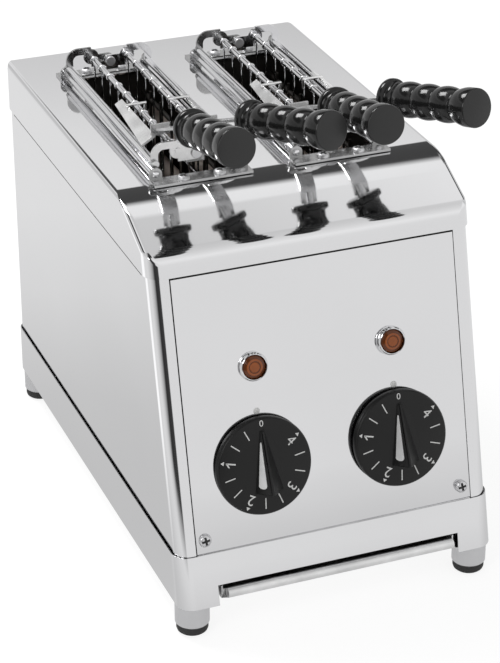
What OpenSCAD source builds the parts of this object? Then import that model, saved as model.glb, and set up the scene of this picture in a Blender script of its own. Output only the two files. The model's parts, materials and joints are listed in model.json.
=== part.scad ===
// Two-slot sandwich toaster with a wire tong hanging in each slot.
// X to the right, Y to the back, Z up. The origin lies on the counter, midway between the feet.

/* [Casing] */
// Width over the base skirt and the top cover
skirt_w = 205; // [204:1:210]
// Depth of the base at its lower edge
base_d = 334; // [330:1:340]
// Height of the base skirt
base_h = 32; // [30:1:34]
// Upright height of the panel between base and cover
panel_h = 163.6; // [160:0.2:168]
// Height of the top cover at its back
cover_h = 31.5; // [30:0.5:34]
// Lean of the front from the vertical, in degrees
front_lean = 13.9; // [13:0.1:15]
// Radius of the upright corners
corner_r = 10; // [8:1:12]
// Thickness of the sheet steel
sheet = 1.2; // [1:0.1:1.4]
// Half width of the front panel between the wrapped sides
panel_half_w = 89.3; // [87:0.1:90]

/* [Top cover] */
// Height of the cover's front lip
lip_h = 12; // [10:0.5:14]
// Slope of the facet above the lip, in degrees
facet_slope = 24.5; // [23:0.5:26]
// Radius of the bend between facet and flat top
top_bend_r = 75; // [60:1:75]
// Radius of the long side edges
side_edge_r = 3.5; // [2.5:0.5:4]

/* [Feet and tray] */
// Height of a foot
foot_h = 21; // [19:1:24]
// Diameter of a foot sleeve
foot_d = 21; // [20:0.5:22]
// Half width of the tray notch in the base
notch_half_w = 78.3; // [78:0.1:79]
// Height of the tray notch
notch_h = 12.3; // [12.3:0.1:14]

/* [Slots] */
// Distance between the two slots
slot_pitch = 89; // [88:0.5:91]
// Sideways offset of the slot pair
slot_shift = -3; // [-4:0.5:-1]
// Half width of a slot opening
slot_half_w = 24.5; // [24:0.1:24.8]
// Front end of a slot opening
slot_y0 = -52; // [-52.5:0.1:-51.5]
// Back end of a slot opening
slot_y1 = 116; // [115.5:0.1:116.5]

/* [Tongs] */
// Number of upright wires on a cage
wire_count = 10; // [9:1:10]
// Distance between upright wires
wire_pitch = 16; // [15:0.1:16]
// Depth of a cage below its top rod
cage_drop = 110; // [100:1:115]
// Length of a handle
handle_len = 74; // [70:1:78]
// Rise of the handles, in degrees
handle_rise = 12.5; // [11:0.5:14]
// Turn of the right handle to the right, in degrees
handle_turn = 18; // [15:0.5:19]

/* [Controls] */
// Diameter of a timer knob
knob_d = 60; // [56:1:62]
// Sideways distance of the knobs and lamps from the middle
control_x = 44; // [42:0.5:46]
// Distance of the knobs up the panel
knob_s = 48; // [46:0.5:50]
// Distance of the lamps up the panel
lamp_s = 108; // [104:0.5:112]
// Diameter of a lamp bezel
bezel_d = 18; // [17:0.5:20]

/* [Hidden] */
$fn = 48;
far = 500;
fit_gap = 0.1;

base_z = foot_h;
seam_z = base_z + base_h;
cover_z = seam_z + panel_h;
top_z = cover_z + cover_h;
back_y = base_d / 2;
front_y = base_h * tan(front_lean) - base_d / 2;
proud = sheet + fit_gap;
tuck = 8;
case_w = skirt_w - 2 * proud;
case_z0 = seam_z - tuck;
case_z1 = cover_z + tuck;
panel_len = panel_h / cos(front_lean);
panel_y = front_y + proud / cos(front_lean);
case_back_y = back_y - proud;

lip_z = cover_z + lip_h;
lip_y = front_y + (lip_z - seam_z) * tan(front_lean);
flat_y = lip_y + (top_z - lip_z) / tan(facet_slope) + top_bend_r * tan(facet_slope / 2);

slot_x = [slot_shift - slot_pitch / 2, slot_shift + slot_pitch / 2];
screw_x = 83.4;
screw_s = 7.5;
screw_r = 2;
foot_x = 91.5;
foot_y = 154.5;
stud_r = 2;

// Places on a slot, from the slot's centre line and the top of the cover
rail_x = 27;
rail_v = 4.5;
rod_r = 2.25;
outer_x = 26;
outer_v = 9.6;
inner_x = 11.5;
inner_v = 15.5;
inner_r = 2.5;
pivot_v = 12.5;
pivot_r = 2;
pivot_gap = 0.05;
plate_t = 1.5;
ear_y = [-55, 119];
ear_half_w = 31;
flange_d = 9;
bracket_screw_x = 11.5;
front_stack_y = -50.5;
back_stack_y = 114;
stack_step = 1.8;
first_wire_y = -38;
arm_y = -30.5;
handle_base = [0, -82, 43];
left_handle_x = -14.4;
right_handle_x = 21;
stem_r = 3.5;

chamber_y = [-55.2, 120];
chamber_z0 = 60;
heater_x = 33;
heater_z = [155, 185, 215];
heater_r = 5;
guard_x = 25.5;
guard_r = 1;
reflector_x = [slot_x[0] - 44, slot_shift, slot_x[1] + 44];

// Shared shapes

// Plan outline with a rounded end at y = 0, running back in +Y
module rounded_end(w, r) {
    translate([-w / 2, r]) square([w, far]);
    translate([r - w / 2, 0]) square([w - 2 * r, far]);
    for (side = [-1, 1])
        translate([side * (w / 2 - r), r]) circle(r);
}

// Block with the leaning front, an upright back and rounded upright corners
module leaning_block(w, inset, r, z0, z1) {
    intersection() {
        translate([0, front_y, seam_z])
            rotate([-front_lean, 0, 0])
            translate([0, inset, -far])
            linear_extrude(2 * far) rounded_end(w, r);
        translate([0, back_y - inset, z0])
            mirror([0, 1, 0])
            linear_extrude(z1 - z0) rounded_end(w, r);
    }
}

// Frame of the front panel: X across, Y up the slope, Z out of the panel
module on_panel(x, s) {
    translate([0, panel_y, seam_z])
        rotate([90 - front_lean, 0, 0])
        translate([x, s, 0])
        children();
}

// Frame of a slot: centre line at x = 0, top of the cover at z = 0
module on_slot(i) {
    translate([slot_x[i], 0, top_z]) children();
}

// Round bar along Y
module bar_y(x, z, r, y0, y1) {
    translate([x, y1, z]) rotate([90, 0, 0]) cylinder(r = r, h = y1 - y0);
}

// Pan-head screw with a cross recess, head on +Z
module pan_screw(r, length) {
    head_r = 1.95 * r;
    head_h = 1.2 * r;
    difference() {
        union() {
            cylinder(r = head_r, h = 0.6 * head_h);
            cylinder(r1 = head_r, r2 = 0.7 * head_r, h = head_h);
            translate([0, 0, -length]) cylinder(r = r, h = length);
        }
        for (turn = [0, 90])
            rotate([0, 0, turn + 30])
            translate([-0.6 * head_r, -0.3, 0.5 * head_h]) cube([1.2 * head_r, 0.6, head_h]);
    }
}

// Casing

module casing_shell() {
    difference() {
        leaning_block(case_w, proud, corner_r - proud, case_z0, case_z1);
        leaning_block(case_w - 2 * sheet, proud + sheet, corner_r - proud - sheet, case_z0 - 1, case_z1 + 1);
    }
}

module base_frame() {
    tray_opening = 70;
    color("gainsboro") difference() {
        leaning_block(skirt_w, 0, corner_r, base_z, seam_z);
        leaning_block(skirt_w - 2 * sheet, sheet, corner_r - sheet, base_z + sheet, seam_z + 1);
        translate([-tray_opening, -far, base_z - 1]) cube([2 * tray_opening, far + 140, 3]);
        translate([-notch_half_w, -far, base_z - 1]) cube([2 * notch_half_w, far - 130, notch_h + 1]);
        for (x = [-foot_x, foot_x], y = [-foot_y, foot_y])
            translate([x, y, base_z - 1]) cylinder(r = stud_r + fit_gap, h = 4);
    }
}

module side_panel(side) {
    tab_w = 17;
    tab_s = 15;
    color("lightgray") {
        difference() {
            union() {
                intersection() {
                    casing_shell();
                    translate([side > 0 ? panel_half_w : -far - panel_half_w, -far, 0])
                        cube([far, 2 * far, far]);
                }
                on_panel(side * (panel_half_w - 3), 0)
                    translate([-tab_w / 2, 0, -2 * sheet]) cube([tab_w, tab_s, sheet]);
            }
            on_panel(side * screw_x, screw_s)
                translate([0, 0, -5]) cylinder(r = screw_r + fit_gap, h = 6);
        }
    }
}

module side_panel_left() side_panel(-1);
module side_panel_right() side_panel(1);

module rear_panel() {
    w = 2 * (panel_half_w - fit_gap);
    vent_w = 60;
    vent_h = 3;
    color("lightgray") difference() {
        translate([-w / 2, case_back_y - sheet, case_z0]) cube([w, sheet, case_z1 - case_z0]);
        gland_place() cylinder(r = 8, h = 40, center = true);
        for (row = [0:5], side = [-1, 1])
            translate([side * 40 - vent_w / 2, back_y - 10, cover_z - 20 - 8 * row]) cube([vent_w, 20, vent_h]);
    }
}

module front_panel() {
    w = 2 * (panel_half_w - fit_gap);
    color("whitesmoke") difference() {
        on_panel(0, 0) translate([-w / 2, -tuck, -sheet]) cube([w, panel_len + 2 * tuck, sheet]);
        for (side = [-1, 1]) {
            on_panel(side * control_x, knob_s) translate([0, 0, -5]) cylinder(r = 5, h = 10);
            on_panel(side * control_x, lamp_s) translate([0, 0, -5]) cylinder(r = 7, h = 10);
            on_panel(side * screw_x, screw_s) translate([0, 0, -5]) cylinder(r = screw_r + fit_gap, h = 10);
        }
    }
}

// Side view of the cover, y along X and z along Y
module cover_side_view(inset) {
    bend = [for (a = [0 : facet_slope / 8 : facet_slope])
        [flat_y - (top_bend_r - inset) * sin(a), top_z - top_bend_r + (top_bend_r - inset) * cos(a)]];
    facet_end = bend[8] - 120 * [cos(facet_slope), sin(facet_slope)];
    polygon(concat([[far, 0], [far, top_z - inset]], bend, [facet_end, [facet_end[0], 0]]));
}

// Front view of the cover with its rounded long edges, top at y = 0
module cover_front_view(w) {
    translate([-w / 2, -far]) square([w, far - side_edge_r]);
    translate([side_edge_r - w / 2, -far]) square([w - 2 * side_edge_r, far]);
    for (side = [-1, 1])
        translate([side * (w / 2 - side_edge_r), -side_edge_r]) circle(side_edge_r);
}

module cover_block(inset, z0) {
    w = skirt_w - 2 * inset;
    intersection() {
        leaning_block(w, inset, corner_r - inset, z0, top_z);
        rotate([90, 0, 90]) linear_extrude(far, center = true) cover_side_view(inset);
        translate([0, 0, top_z - inset])
            rotate([90, 0, 0]) linear_extrude(2 * far, center = true) cover_front_view(w);
        translate([0, lip_y, lip_z])
            rotate([facet_slope, 0, 0])
            translate([0, 0, -inset])
            rotate([90, 0, 0]) linear_extrude(2 * far, center = true) cover_front_view(w);
    }
}

module top_cover() {
    color("silver") difference() {
        cover_block(0, cover_z);
        cover_block(sheet, cover_z - 1);
        for (i = [0, 1]) {
            on_slot(i) translate([-slot_half_w, slot_y0, -10]) cube([2 * slot_half_w, slot_y1 - slot_y0, 20]);
            bracket_screw_places(i) cylinder(r = screw_r + fit_gap, h = 10, center = true);
        }
    }
}

// Feet and crumb tray

module foot_places() {
    for (x = [-foot_x, foot_x], y = [-foot_y, foot_y])
        translate([x, y, 0]) children();
}

pad_h = 6;

module foot_sleeves() {
    stud_len = 6;
    color("silver") foot_places() {
        translate([0, 0, pad_h]) cylinder(d = foot_d, h = foot_h - pad_h);
        translate([0, 0, foot_h - 1]) cylinder(r = stud_r, h = stud_len);
    }
}

module foot_pads() {
    pad_r = foot_d / 2 - 0.8;
    round_r = 2;
    color("#1c1c1c") foot_places() rotate_extrude()
        polygon([
            [0, 0], [pad_r - round_r, 0], [pad_r - 0.6, 0.6], [pad_r, round_r], [pad_r, pad_h], [0, pad_h]
        ]);
}

tray_half_w = 76;
tray_floor_z = base_z + sheet + 0.3;

module crumb_tray() {
    y0 = -163;
    y1 = 150;
    wall_h = 9.5;
    lip_out = 7;
    lip_r = 3;
    color("gainsboro") {
        translate([-tray_half_w, y0, tray_floor_z]) difference() {
            cube([2 * tray_half_w, y1 - y0, wall_h]);
            translate([1, 1, 1]) cube([2 * tray_half_w - 2, y1 - y0 - 2, wall_h]);
            translate([1, -1, 7]) cube([2 * tray_half_w - 2, 3, wall_h]);
        }
        translate([-tray_half_w, y0 - lip_out, tray_floor_z]) cube([2 * tray_half_w, lip_out + 0.5, 1]);
        translate([-tray_half_w, y0 - lip_out, tray_floor_z + lip_r])
            rotate([0, 90, 0]) cylinder(r = lip_r, h = 2 * tray_half_w);
    }
}

// Front controls

module lamp_bezel(side) {
    color("silver") on_panel(side * control_x, lamp_s) difference() {
        union() {
            rotate_extrude() polygon([
                [0, 0], [bezel_d / 2, 0], [bezel_d / 2, 2.2], [bezel_d / 2 - 1.4, 3.8], [0, 3.8]
            ]);
            translate([0, 0, -22]) cylinder(r = 6.9, h = 22.5);
        }
        translate([0, 0, 1]) cylinder(r = 6.3, h = 10);
        translate([0, 0, -30]) cylinder(r = 5.4, h = 29);
    }
}

module lamp_lens(side) {
    color("sienna") on_panel(side * control_x, lamp_s)
        rotate_extrude() polygon([[0, 1], [6.25, 1], [6.25, 3.6], [5.4, 4.8], [3, 5.5], [0, 5.7]]);
}

module lamp_bezel_left() lamp_bezel(-1);
module lamp_bezel_right() lamp_bezel(1);
module lamp_lens_left() lamp_lens(-1);
module lamp_lens_right() lamp_lens(1);

shaft_r = 3;
timer_depth = 28;
knob_back = 1.5;

module timer(side) {
    timer_w = 42;
    color("dimgray") on_panel(side * control_x, knob_s) difference() {
        union() {
            translate([-timer_w / 2, -timer_w / 2, -sheet - timer_depth]) cube([timer_w, timer_w, timer_depth]);
            translate([0, 0, -2]) cylinder(r = 4.9, h = 3);
        }
        translate([0, 0, -22]) cylinder(r = shaft_r + 0.05, h = 30);
    }
}

module timer_shaft(side) {
    color("silver") on_panel(side * control_x, knob_s) translate([0, 0, -20]) cylinder(r = shaft_r, h = 28.2);
}

knob_face = 8;
grip_tail_y = -15.5;
grip_tip_y = 22;
grip_tail_half_w = 7.5;
grip_tip_half_w = 1.5;
grip_taper = atan((grip_tail_half_w - grip_tip_half_w) / (grip_tip_y - grip_tail_y));
flank_lean = 33;

// Frame on one flank of a knob's grip: Y runs to the tip, Z up the flank
module on_flank(side) {
    translate([0, grip_tail_y, knob_face])
        rotate([0, 0, side * grip_taper])
        translate([side * grip_tail_half_w, 0, 0])
        rotate([0, -side * flank_lean, 0])
        children();
}

// Half space that ends at one flank of the grip
module behind_flank(side) {
    on_flank(side) translate([side > 0 ? -far : 0, -far / 2, -far / 2]) cube([far, far, far]);
}

// Grip: a fin that rises from the scale's zero to its tail, on a low plinth
module knob_grip() {
    plinth_h = 0.8;
    fin_tail_h = 10.2;
    fin_slope = 13.3;
    block_w = 20;
    translate([0, 0, knob_face - 0.5]) linear_extrude(plinth_h + 0.5) polygon([
        [-9.5, -16.5], [9.5, -16.5], [11, -11], [9.5, 2], [7, 13], [1.5, 23],
        [-1.5, 23], [-7, 13], [-9.5, 2], [-11, -11]
    ]);
    intersection() {
        translate([-block_w / 2, grip_tail_y, knob_face - 0.5])
            cube([block_w, grip_tip_y - grip_tail_y, fin_tail_h + 0.5]);
        translate([0, grip_tail_y, knob_face + fin_tail_h]) rotate([-fin_slope, 0, 0])
            translate([-far / 2, -far / 2, -far]) cube([far, far, far]);
        behind_flank(-1);
        behind_flank(1);
    }
}

module knob(side) {
    rim_r = knob_d / 2;
    color("#151515") on_panel(side * control_x, knob_s) difference() {
        union() {
            rotate_extrude() polygon([
                [0, knob_back], [rim_r, knob_back], [rim_r, 5], [rim_r - 2.5, knob_face], [0, knob_face]
            ]);
            knob_grip();
        }
        translate([0, 0, -1]) cylinder(r = shaft_r + 0.02, h = 9.4);
        pointer_outline(3);
    }
}

// Tapered inlay in the left flank of a knob's grip
module pointer_outline(proud) {
    inlay_depth = 0.8;
    on_flank(-1) translate([-proud, 0, 0]) rotate([90, 0, 90]) linear_extrude(proud + inlay_depth)
        polygon([[4, 2.3], [29.5, 1.1], [30.4, 1.5], [29.9, 2.1], [5, 8.2], [3.2, 7.1], [2.8, 4.5]]);
}

module knob_pointer(side) {
    color("gainsboro") on_panel(side * control_x, knob_s) pointer_outline(0.3);
}

module timer_left() timer(-1);
module timer_right() timer(1);
module timer_shaft_left() timer_shaft(-1);
module timer_shaft_right() timer_shaft(1);
module knob_left() knob(-1);
module knob_right() knob(1);
module knob_pointer_left() knob_pointer(-1);
module knob_pointer_right() knob_pointer(1);

module panel_screws() {
    color("silver") for (side = [-1, 1]) on_panel(side * screw_x, screw_s) pan_screw(screw_r, 6);
}

// Fixed parts of a slot

module bracket_screw_places(i) {
    on_slot(i) for (end = [0, 1], side = [-1, 1])
        translate([side * bracket_screw_x, ear_y[end] + (end == 0 ? -1 : 1) * flange_d / 2, 0]) children();
}

module bracket_screws() {
    color("silver") for (i = [0, 1]) bracket_screw_places(i) translate([0, 0, plate_t]) pan_screw(screw_r, 6);
}

// Sheet bracket across one end of a slot, with an ear for each rail
module slot_bracket() {
    ear_r = 4;
    difference() {
        union() {
            translate([-ear_half_w, -flange_d, 0]) cube([2 * ear_half_w, flange_d + plate_t, plate_t]);
            for (side = [-1, 1]) translate([side * rail_x, plate_t, 0]) {
                translate([-ear_r, -plate_t, 0]) cube([2 * ear_r, plate_t, rail_v]);
                translate([0, 0, rail_v]) rotate([90, 0, 0]) cylinder(r = ear_r, h = plate_t);
            }
        }
        for (side = [-1, 1]) {
            translate([side * rail_x, 5, rail_v]) rotate([90, 0, 0]) cylinder(r = rod_r + 0.02, h = 10);
            translate([side * bracket_screw_x, -flange_d / 2, -1]) cylinder(r = screw_r + fit_gap, h = 5);
        }
    }
}

module slot_brackets(i) {
    color("gainsboro") on_slot(i) {
        translate([0, ear_y[0], 0]) slot_bracket();
        translate([0, ear_y[1], 0]) mirror([0, 1, 0]) slot_bracket();
    }
}

module slot_rails(i) {
    color("whitesmoke") on_slot(i) for (side = [-1, 1])
        bar_y(side * rail_x, rail_v, rod_r, ear_y[0] - 1, ear_y[1] + 1);
}

module slot_brackets_left() slot_brackets(0);
module slot_brackets_right() slot_brackets(1);
module slot_rails_left() slot_rails(0);
module slot_rails_right() slot_rails(1);

// Toasting chamber

module chamber_wall(y, flange_way) {
    half_w = case_w / 2 - sheet;
    top_gap = 1.2;
    height = top_z - sheet - top_gap - chamber_z0;
    flange = 12;
    color("darkgray") difference() {
        union() {
            translate([-half_w, y, chamber_z0]) cube([2 * half_w, sheet, height]);
            for (side = [-1, 1])
                translate([
                    side > 0 ? half_w - sheet : -half_w,
                    flange_way > 0 ? y : y + sheet - flange,
                    chamber_z0
                ])
                cube([sheet, flange, height - 40]);
        }
        for (i = [0, 1], side = [-1, 1], z = heater_z)
            translate([slot_x[i] + side * heater_x, y - 1, z])
            rotate([-90, 0, 0]) cylinder(r = heater_r + 0.2, h = sheet + 2);
    }
}

module chamber_wall_front() chamber_wall(chamber_y[0], -1);
module chamber_wall_back() chamber_wall(chamber_y[1], 1);

module reflectors() {
    y0 = chamber_y[0] + sheet;
    height = 110;
    color("silver") for (x = reflector_x)
        translate([x - 0.5, y0, top_z - sheet - height]) cube([1, chamber_y[1] - y0, height]);
}

heater_out = 8;

module heater_tubes(i) {
    color("mistyrose") for (side = [-1, 1], z = heater_z)
        bar_y(
            slot_x[i] + side * heater_x, z, heater_r,
            chamber_y[0] - heater_out, chamber_y[1] + sheet + heater_out
        );
}

module heater_cap() {
    difference() {
        rotate([-90, 0, 0]) cylinder(r = heater_r + 2, h = 12);
        rotate([-90, 0, 0]) translate([0, 0, -1]) cylinder(r = heater_r + 0.02, h = heater_out + 1);
    }
}

module heater_caps(i) {
    color("linen") for (side = [-1, 1], z = heater_z) {
        translate([slot_x[i] + side * heater_x, chamber_y[1] + sheet, z]) heater_cap();
        translate([slot_x[i] + side * heater_x, chamber_y[0], z]) mirror([0, 1, 0]) heater_cap();
    }
}

// Grid of upright wires that keeps the cage off the heaters
module wire_guards(i) {
    y0 = chamber_y[0] + sheet;
    z0 = 140;
    z1 = 238;
    color("silver") for (side = [-1, 1]) translate([slot_x[i] + side * guard_x, 0, 0]) {
        for (z = [z0 + 6, z1 - 6]) bar_y(0, z, 1.5 * guard_r, y0, chamber_y[1]);
        for (k = [0:7]) translate([-side * 0.6, y0 + 17 + 20 * k, z0]) cylinder(r = guard_r, h = z1 - z0);
    }
}

module heater_tubes_left() heater_tubes(0);
module heater_tubes_right() heater_tubes(1);
module heater_caps_left() heater_caps(0);
module heater_caps_right() heater_caps(1);
module wire_guards_left() wire_guards(0);
module wire_guards_right() wire_guards(1);

// Mains connection at the back

gland_x = 60;
gland_z = 78;

module gland_place() {
    translate([gland_x, case_back_y, gland_z]) rotate([-90, 0, 0]) children();
}

module cable_gland() {
    color("#202020") gland_place() rotate_extrude() polygon([
        [4, -12], [11, -12], [11, -sheet], [7.95, -sheet], [7.95, 0],
        [11, 0], [11, 4], [7, 8], [4, 8]
    ]);
}

module terminal_block() {
    pole_w = 12;
    color("ivory") difference() {
        translate([0, case_back_y - sheet - 16, gland_z + 22]) cube([5 * pole_w, 16, 20]);
        for (pole = [0:4])
            translate([pole_w * (pole + 0.5), case_back_y - sheet - 17, gland_z + 32])
            rotate([-90, 0, 0]) cylinder(r = 3, h = 8);
    }
}

// Tongs: two halves that turn on rivets between a pair of hinge plates

module hinge_plates(i) {
    color("silver") on_slot(i) for (y = [front_stack_y + stack_step, back_stack_y - stack_step - plate_t])
        difference() {
            union() {
                translate([-6, y, 6]) cube([12, plate_t, pivot_v - 6]);
                translate([0, y + plate_t, pivot_v]) rotate([90, 0, 0]) cylinder(r = 4, h = plate_t);
            }
            translate([0, y + 5, pivot_v]) rotate([90, 0, 0]) cylinder(r = pivot_r, h = 10);
        }
}

module pivot_pins(i) {
    head = 1.2;
    stack = 2 * stack_step + plate_t;
    color("whitesmoke") on_slot(i) for (y = [front_stack_y, back_stack_y - stack]) {
        bar_y(0, pivot_v, pivot_r, y - 0.3, y + stack + 0.3);
        bar_y(0, pivot_v, pivot_r + 1.2, y - 0.3 - head, y - 0.3);
        bar_y(0, pivot_v, pivot_r + 1.2, y + stack + 0.3, y + stack + 0.3 + head);
    }
}

// Arched end plate of the left half, from the outer rod over to the pivot
module arch_outline() {
    leg_w = 4.5;
    arch_top = 22;
    arch_r = 8;
    leg_x = -outer_x - leg_w / 2;
    tab_r = 4;
    translate([leg_x, outer_v - 2]) square([leg_w, arch_top - arch_r - outer_v + 2]);
    translate([-outer_x, outer_v]) circle(rod_r + 0.2);
    translate([leg_x + arch_r, arch_top - arch_r]) intersection() {
        difference() {
            circle(arch_r);
            circle(arch_r - leg_w);
        }
        translate([-far, 0]) square([far, far]);
    }
    translate([leg_x + arch_r, arch_top - leg_w]) square([-inner_x - leg_x - arch_r, leg_w]);
    translate([-inner_x, inner_v]) circle(5);
    translate([-inner_x, pivot_v - tab_r]) square([inner_x, 2 * tab_r]);
    translate([0, pivot_v]) circle(tab_r);
}

// Left half of a tong frame, with its plates outside the hinge plates
module left_half_frame(offset_y) {
    for (y = [front_stack_y + offset_y, back_stack_y - offset_y - plate_t])
        translate([0, y + plate_t, 0]) rotate([90, 0, 0]) linear_extrude(plate_t) difference() {
            arch_outline();
            translate([0, pivot_v]) circle(pivot_r + pivot_gap);
        }
    bar_y(-inner_x, inner_v, inner_r, front_stack_y + offset_y - 0.5, back_stack_y - offset_y + 0.5);
    bar_y(-outer_x, outer_v, rod_r, front_stack_y - 2, back_stack_y + 2);
}

module left_frame(i) {
    color("silver") on_slot(i) left_half_frame(0);
}

module right_frame(i) {
    color("silver") on_slot(i) mirror([1, 0, 0]) left_half_frame(2 * stack_step);
}

// Wire cage hung on the inner rod of the left half by an eye on each wire
module half_cage() {
    wire_r = 1;
    cross_r = 0.8;
    eye_r = inner_r + 1.9;
    eye_w = 2.4;
    toe = 7.5;
    low_v = inner_v - cage_drop;
    for (k = [0 : wire_count - 1]) translate([-inner_x, first_wire_y + wire_pitch * k, 0]) {
        difference() {
            union() {
                bar_y(0, inner_v, eye_r, -eye_w / 2, eye_w / 2);
                translate([0, 0, low_v]) cylinder(r = wire_r, h = cage_drop - inner_r - 0.5);
            }
            bar_y(0, inner_v, inner_r + 0.05, -eye_w, eye_w);
        }
        translate([-0.5, 0, low_v + wire_r]) rotate([0, 90, 0]) cylinder(r = 0.9 * wire_r, h = toe);
    }
    for (v = [inner_v - 0.3 * cage_drop, inner_v - 0.65 * cage_drop, low_v + 6])
        bar_y(
            -inner_x - 1.4 * wire_r, v, cross_r,
            first_wire_y - 4, first_wire_y + wire_pitch * (wire_count - 1) + 4
        );
}

module left_cage(i) {
    color("gainsboro") on_slot(i) half_cage();
}

module right_cage(i) {
    color("gainsboro") on_slot(i) mirror([1, 0, 0]) half_cage();
}

// Sheet strip leaning from the outer rod to the inner rod, with a wire clip over the inner rod
module arm_strip() {
    strip_w = 10;
    strip_tilt = 32;
    strip_y1 = 30;
    clip_y = 18;
    bar_z = inner_v + inner_r + 1.2;
    translate([-outer_x - 0.5, arm_y, outer_v + rod_r + 0.4])
        rotate([0, -strip_tilt, 0]) cube([strip_w, strip_y1 - arm_y, plate_t]);
    translate([-21, clip_y, bar_z]) rotate([0, 90, 0]) cylinder(r = 1, h = 13.8);
    translate([-8, clip_y, bar_z - 6]) cylinder(r = 0.9, h = 6);
}

module on_handle(x, turn, rise) {
    translate(handle_base + [x, 0, 0])
        rotate([0, 0, turn])
        rotate([90 - rise, 0, 0])
        children();
}

// Lug on the leaning strip and the flat strip that climbs from it to the handle's stem
module arm_reach(x, turn, strip_turn) {
    strip_w = 10;
    strip_len = 58;
    strip_rise = 22;
    lug_w = 12;
    lug_h = 7;
    lug_x = x > 0 ? 21 - lug_w : -21;
    translate([lug_x, arm_y, inner_v + inner_r + 0.25]) cube([lug_w, plate_t, lug_h]);
    on_handle(x, strip_turn, strip_rise)
        translate([-strip_w / 2, -plate_t / 2, -strip_len]) cube([strip_w, plate_t, strip_len - 1]);
    on_handle(x, turn, handle_rise) translate([0, 0, -8]) cylinder(r = stem_r, h = 38);
}

module left_arm(i) {
    color("gainsboro") on_slot(i) {
        arm_strip();
        arm_reach(left_handle_x, 0, 0);
    }
}

module right_arm(i) {
    color("gainsboro") on_slot(i) {
        mirror([1, 0, 0]) arm_strip();
        arm_reach(right_handle_x, handle_turn, 7);
    }
}

// Turned grip with a collar, three bulges and a flared flat end
module grip() {
    collar_r = 11.4;
    neck_r = 8.8;
    end_r = 11.4;
    bulge_from = 10;
    bulge_len = 16;
    bulge_h = 1.9;
    bulges = [for (l = [0 : 2 : 3 * bulge_len])
        [neck_r + bulge_h * abs(sin(180 * l / bulge_len)), bulge_from + l]];
    flare_at = bulge_from + 3 * bulge_len;
    outline = concat(
        [[0, 0], [collar_r - 1, 0], [collar_r, 1], [collar_r, 4], [neck_r, 6]],
        bulges,
        [[end_r - 0.6, flare_at + 6], [end_r, flare_at + 9], [end_r, handle_len - 0.8]],
        [[end_r - 0.8, handle_len], [0, handle_len]]
    );
    difference() {
        rotate_extrude() polygon(outline);
        translate([0, 0, -1]) cylinder(r = stem_r + 0.02, h = 32);
    }
}

module left_handle(i) {
    color("#0e0e0e") on_slot(i) on_handle(left_handle_x, 0, handle_rise) grip();
}

module right_handle(i) {
    color("#0e0e0e") on_slot(i) on_handle(right_handle_x, handle_turn, handle_rise) grip();
}

module tong1_hinge_plates() hinge_plates(0);
module tong1_pivot_pins() pivot_pins(0);
module tong1_left_frame() left_frame(0);
module tong1_right_frame() right_frame(0);
module tong1_left_cage() left_cage(0);
module tong1_right_cage() right_cage(0);
module tong1_left_arm() left_arm(0);
module tong1_right_arm() right_arm(0);
module tong1_left_handle() left_handle(0);
module tong1_right_handle() right_handle(0);
module tong2_hinge_plates() hinge_plates(1);
module tong2_pivot_pins() pivot_pins(1);
module tong2_left_frame() left_frame(1);
module tong2_right_frame() right_frame(1);
module tong2_left_cage() left_cage(1);
module tong2_right_cage() right_cage(1);
module tong2_left_arm() left_arm(1);
module tong2_right_arm() right_arm(1);
module tong2_left_handle() left_handle(1);
module tong2_right_handle() right_handle(1);

base_frame();
side_panel_left();
side_panel_right();
rear_panel();
front_panel();
top_cover();
foot_sleeves();
foot_pads();
crumb_tray();
panel_screws();
bracket_screws();
lamp_bezel_left();
lamp_bezel_right();
lamp_lens_left();
lamp_lens_right();
timer_left();
timer_right();
timer_shaft_left();
timer_shaft_right();
knob_left();
knob_right();
knob_pointer_left();
knob_pointer_right();
slot_brackets_left();
slot_brackets_right();
slot_rails_left();
slot_rails_right();
chamber_wall_front();
chamber_wall_back();
reflectors();
heater_tubes_left();
heater_tubes_right();
heater_caps_left();
heater_caps_right();
wire_guards_left();
wire_guards_right();
terminal_block();
cable_gland();
tong1_hinge_plates();
tong1_pivot_pins();
tong1_left_frame();
tong1_right_frame();
tong1_left_cage();
tong1_right_cage();
tong1_left_arm();
tong1_right_arm();
tong1_left_handle();
tong1_right_handle();
tong2_hinge_plates();
tong2_pivot_pins();
tong2_left_frame();
tong2_right_frame();
tong2_left_cage();
tong2_right_cage();
tong2_left_arm();
tong2_right_arm();
tong2_left_handle();
tong2_right_handle();
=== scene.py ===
"""Finished surfaces of a two-slot sandwich toaster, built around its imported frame, and its studio."""
import json
import math

import bmesh
import bpy
from mathutils import Euler, Matrix, Vector


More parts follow.
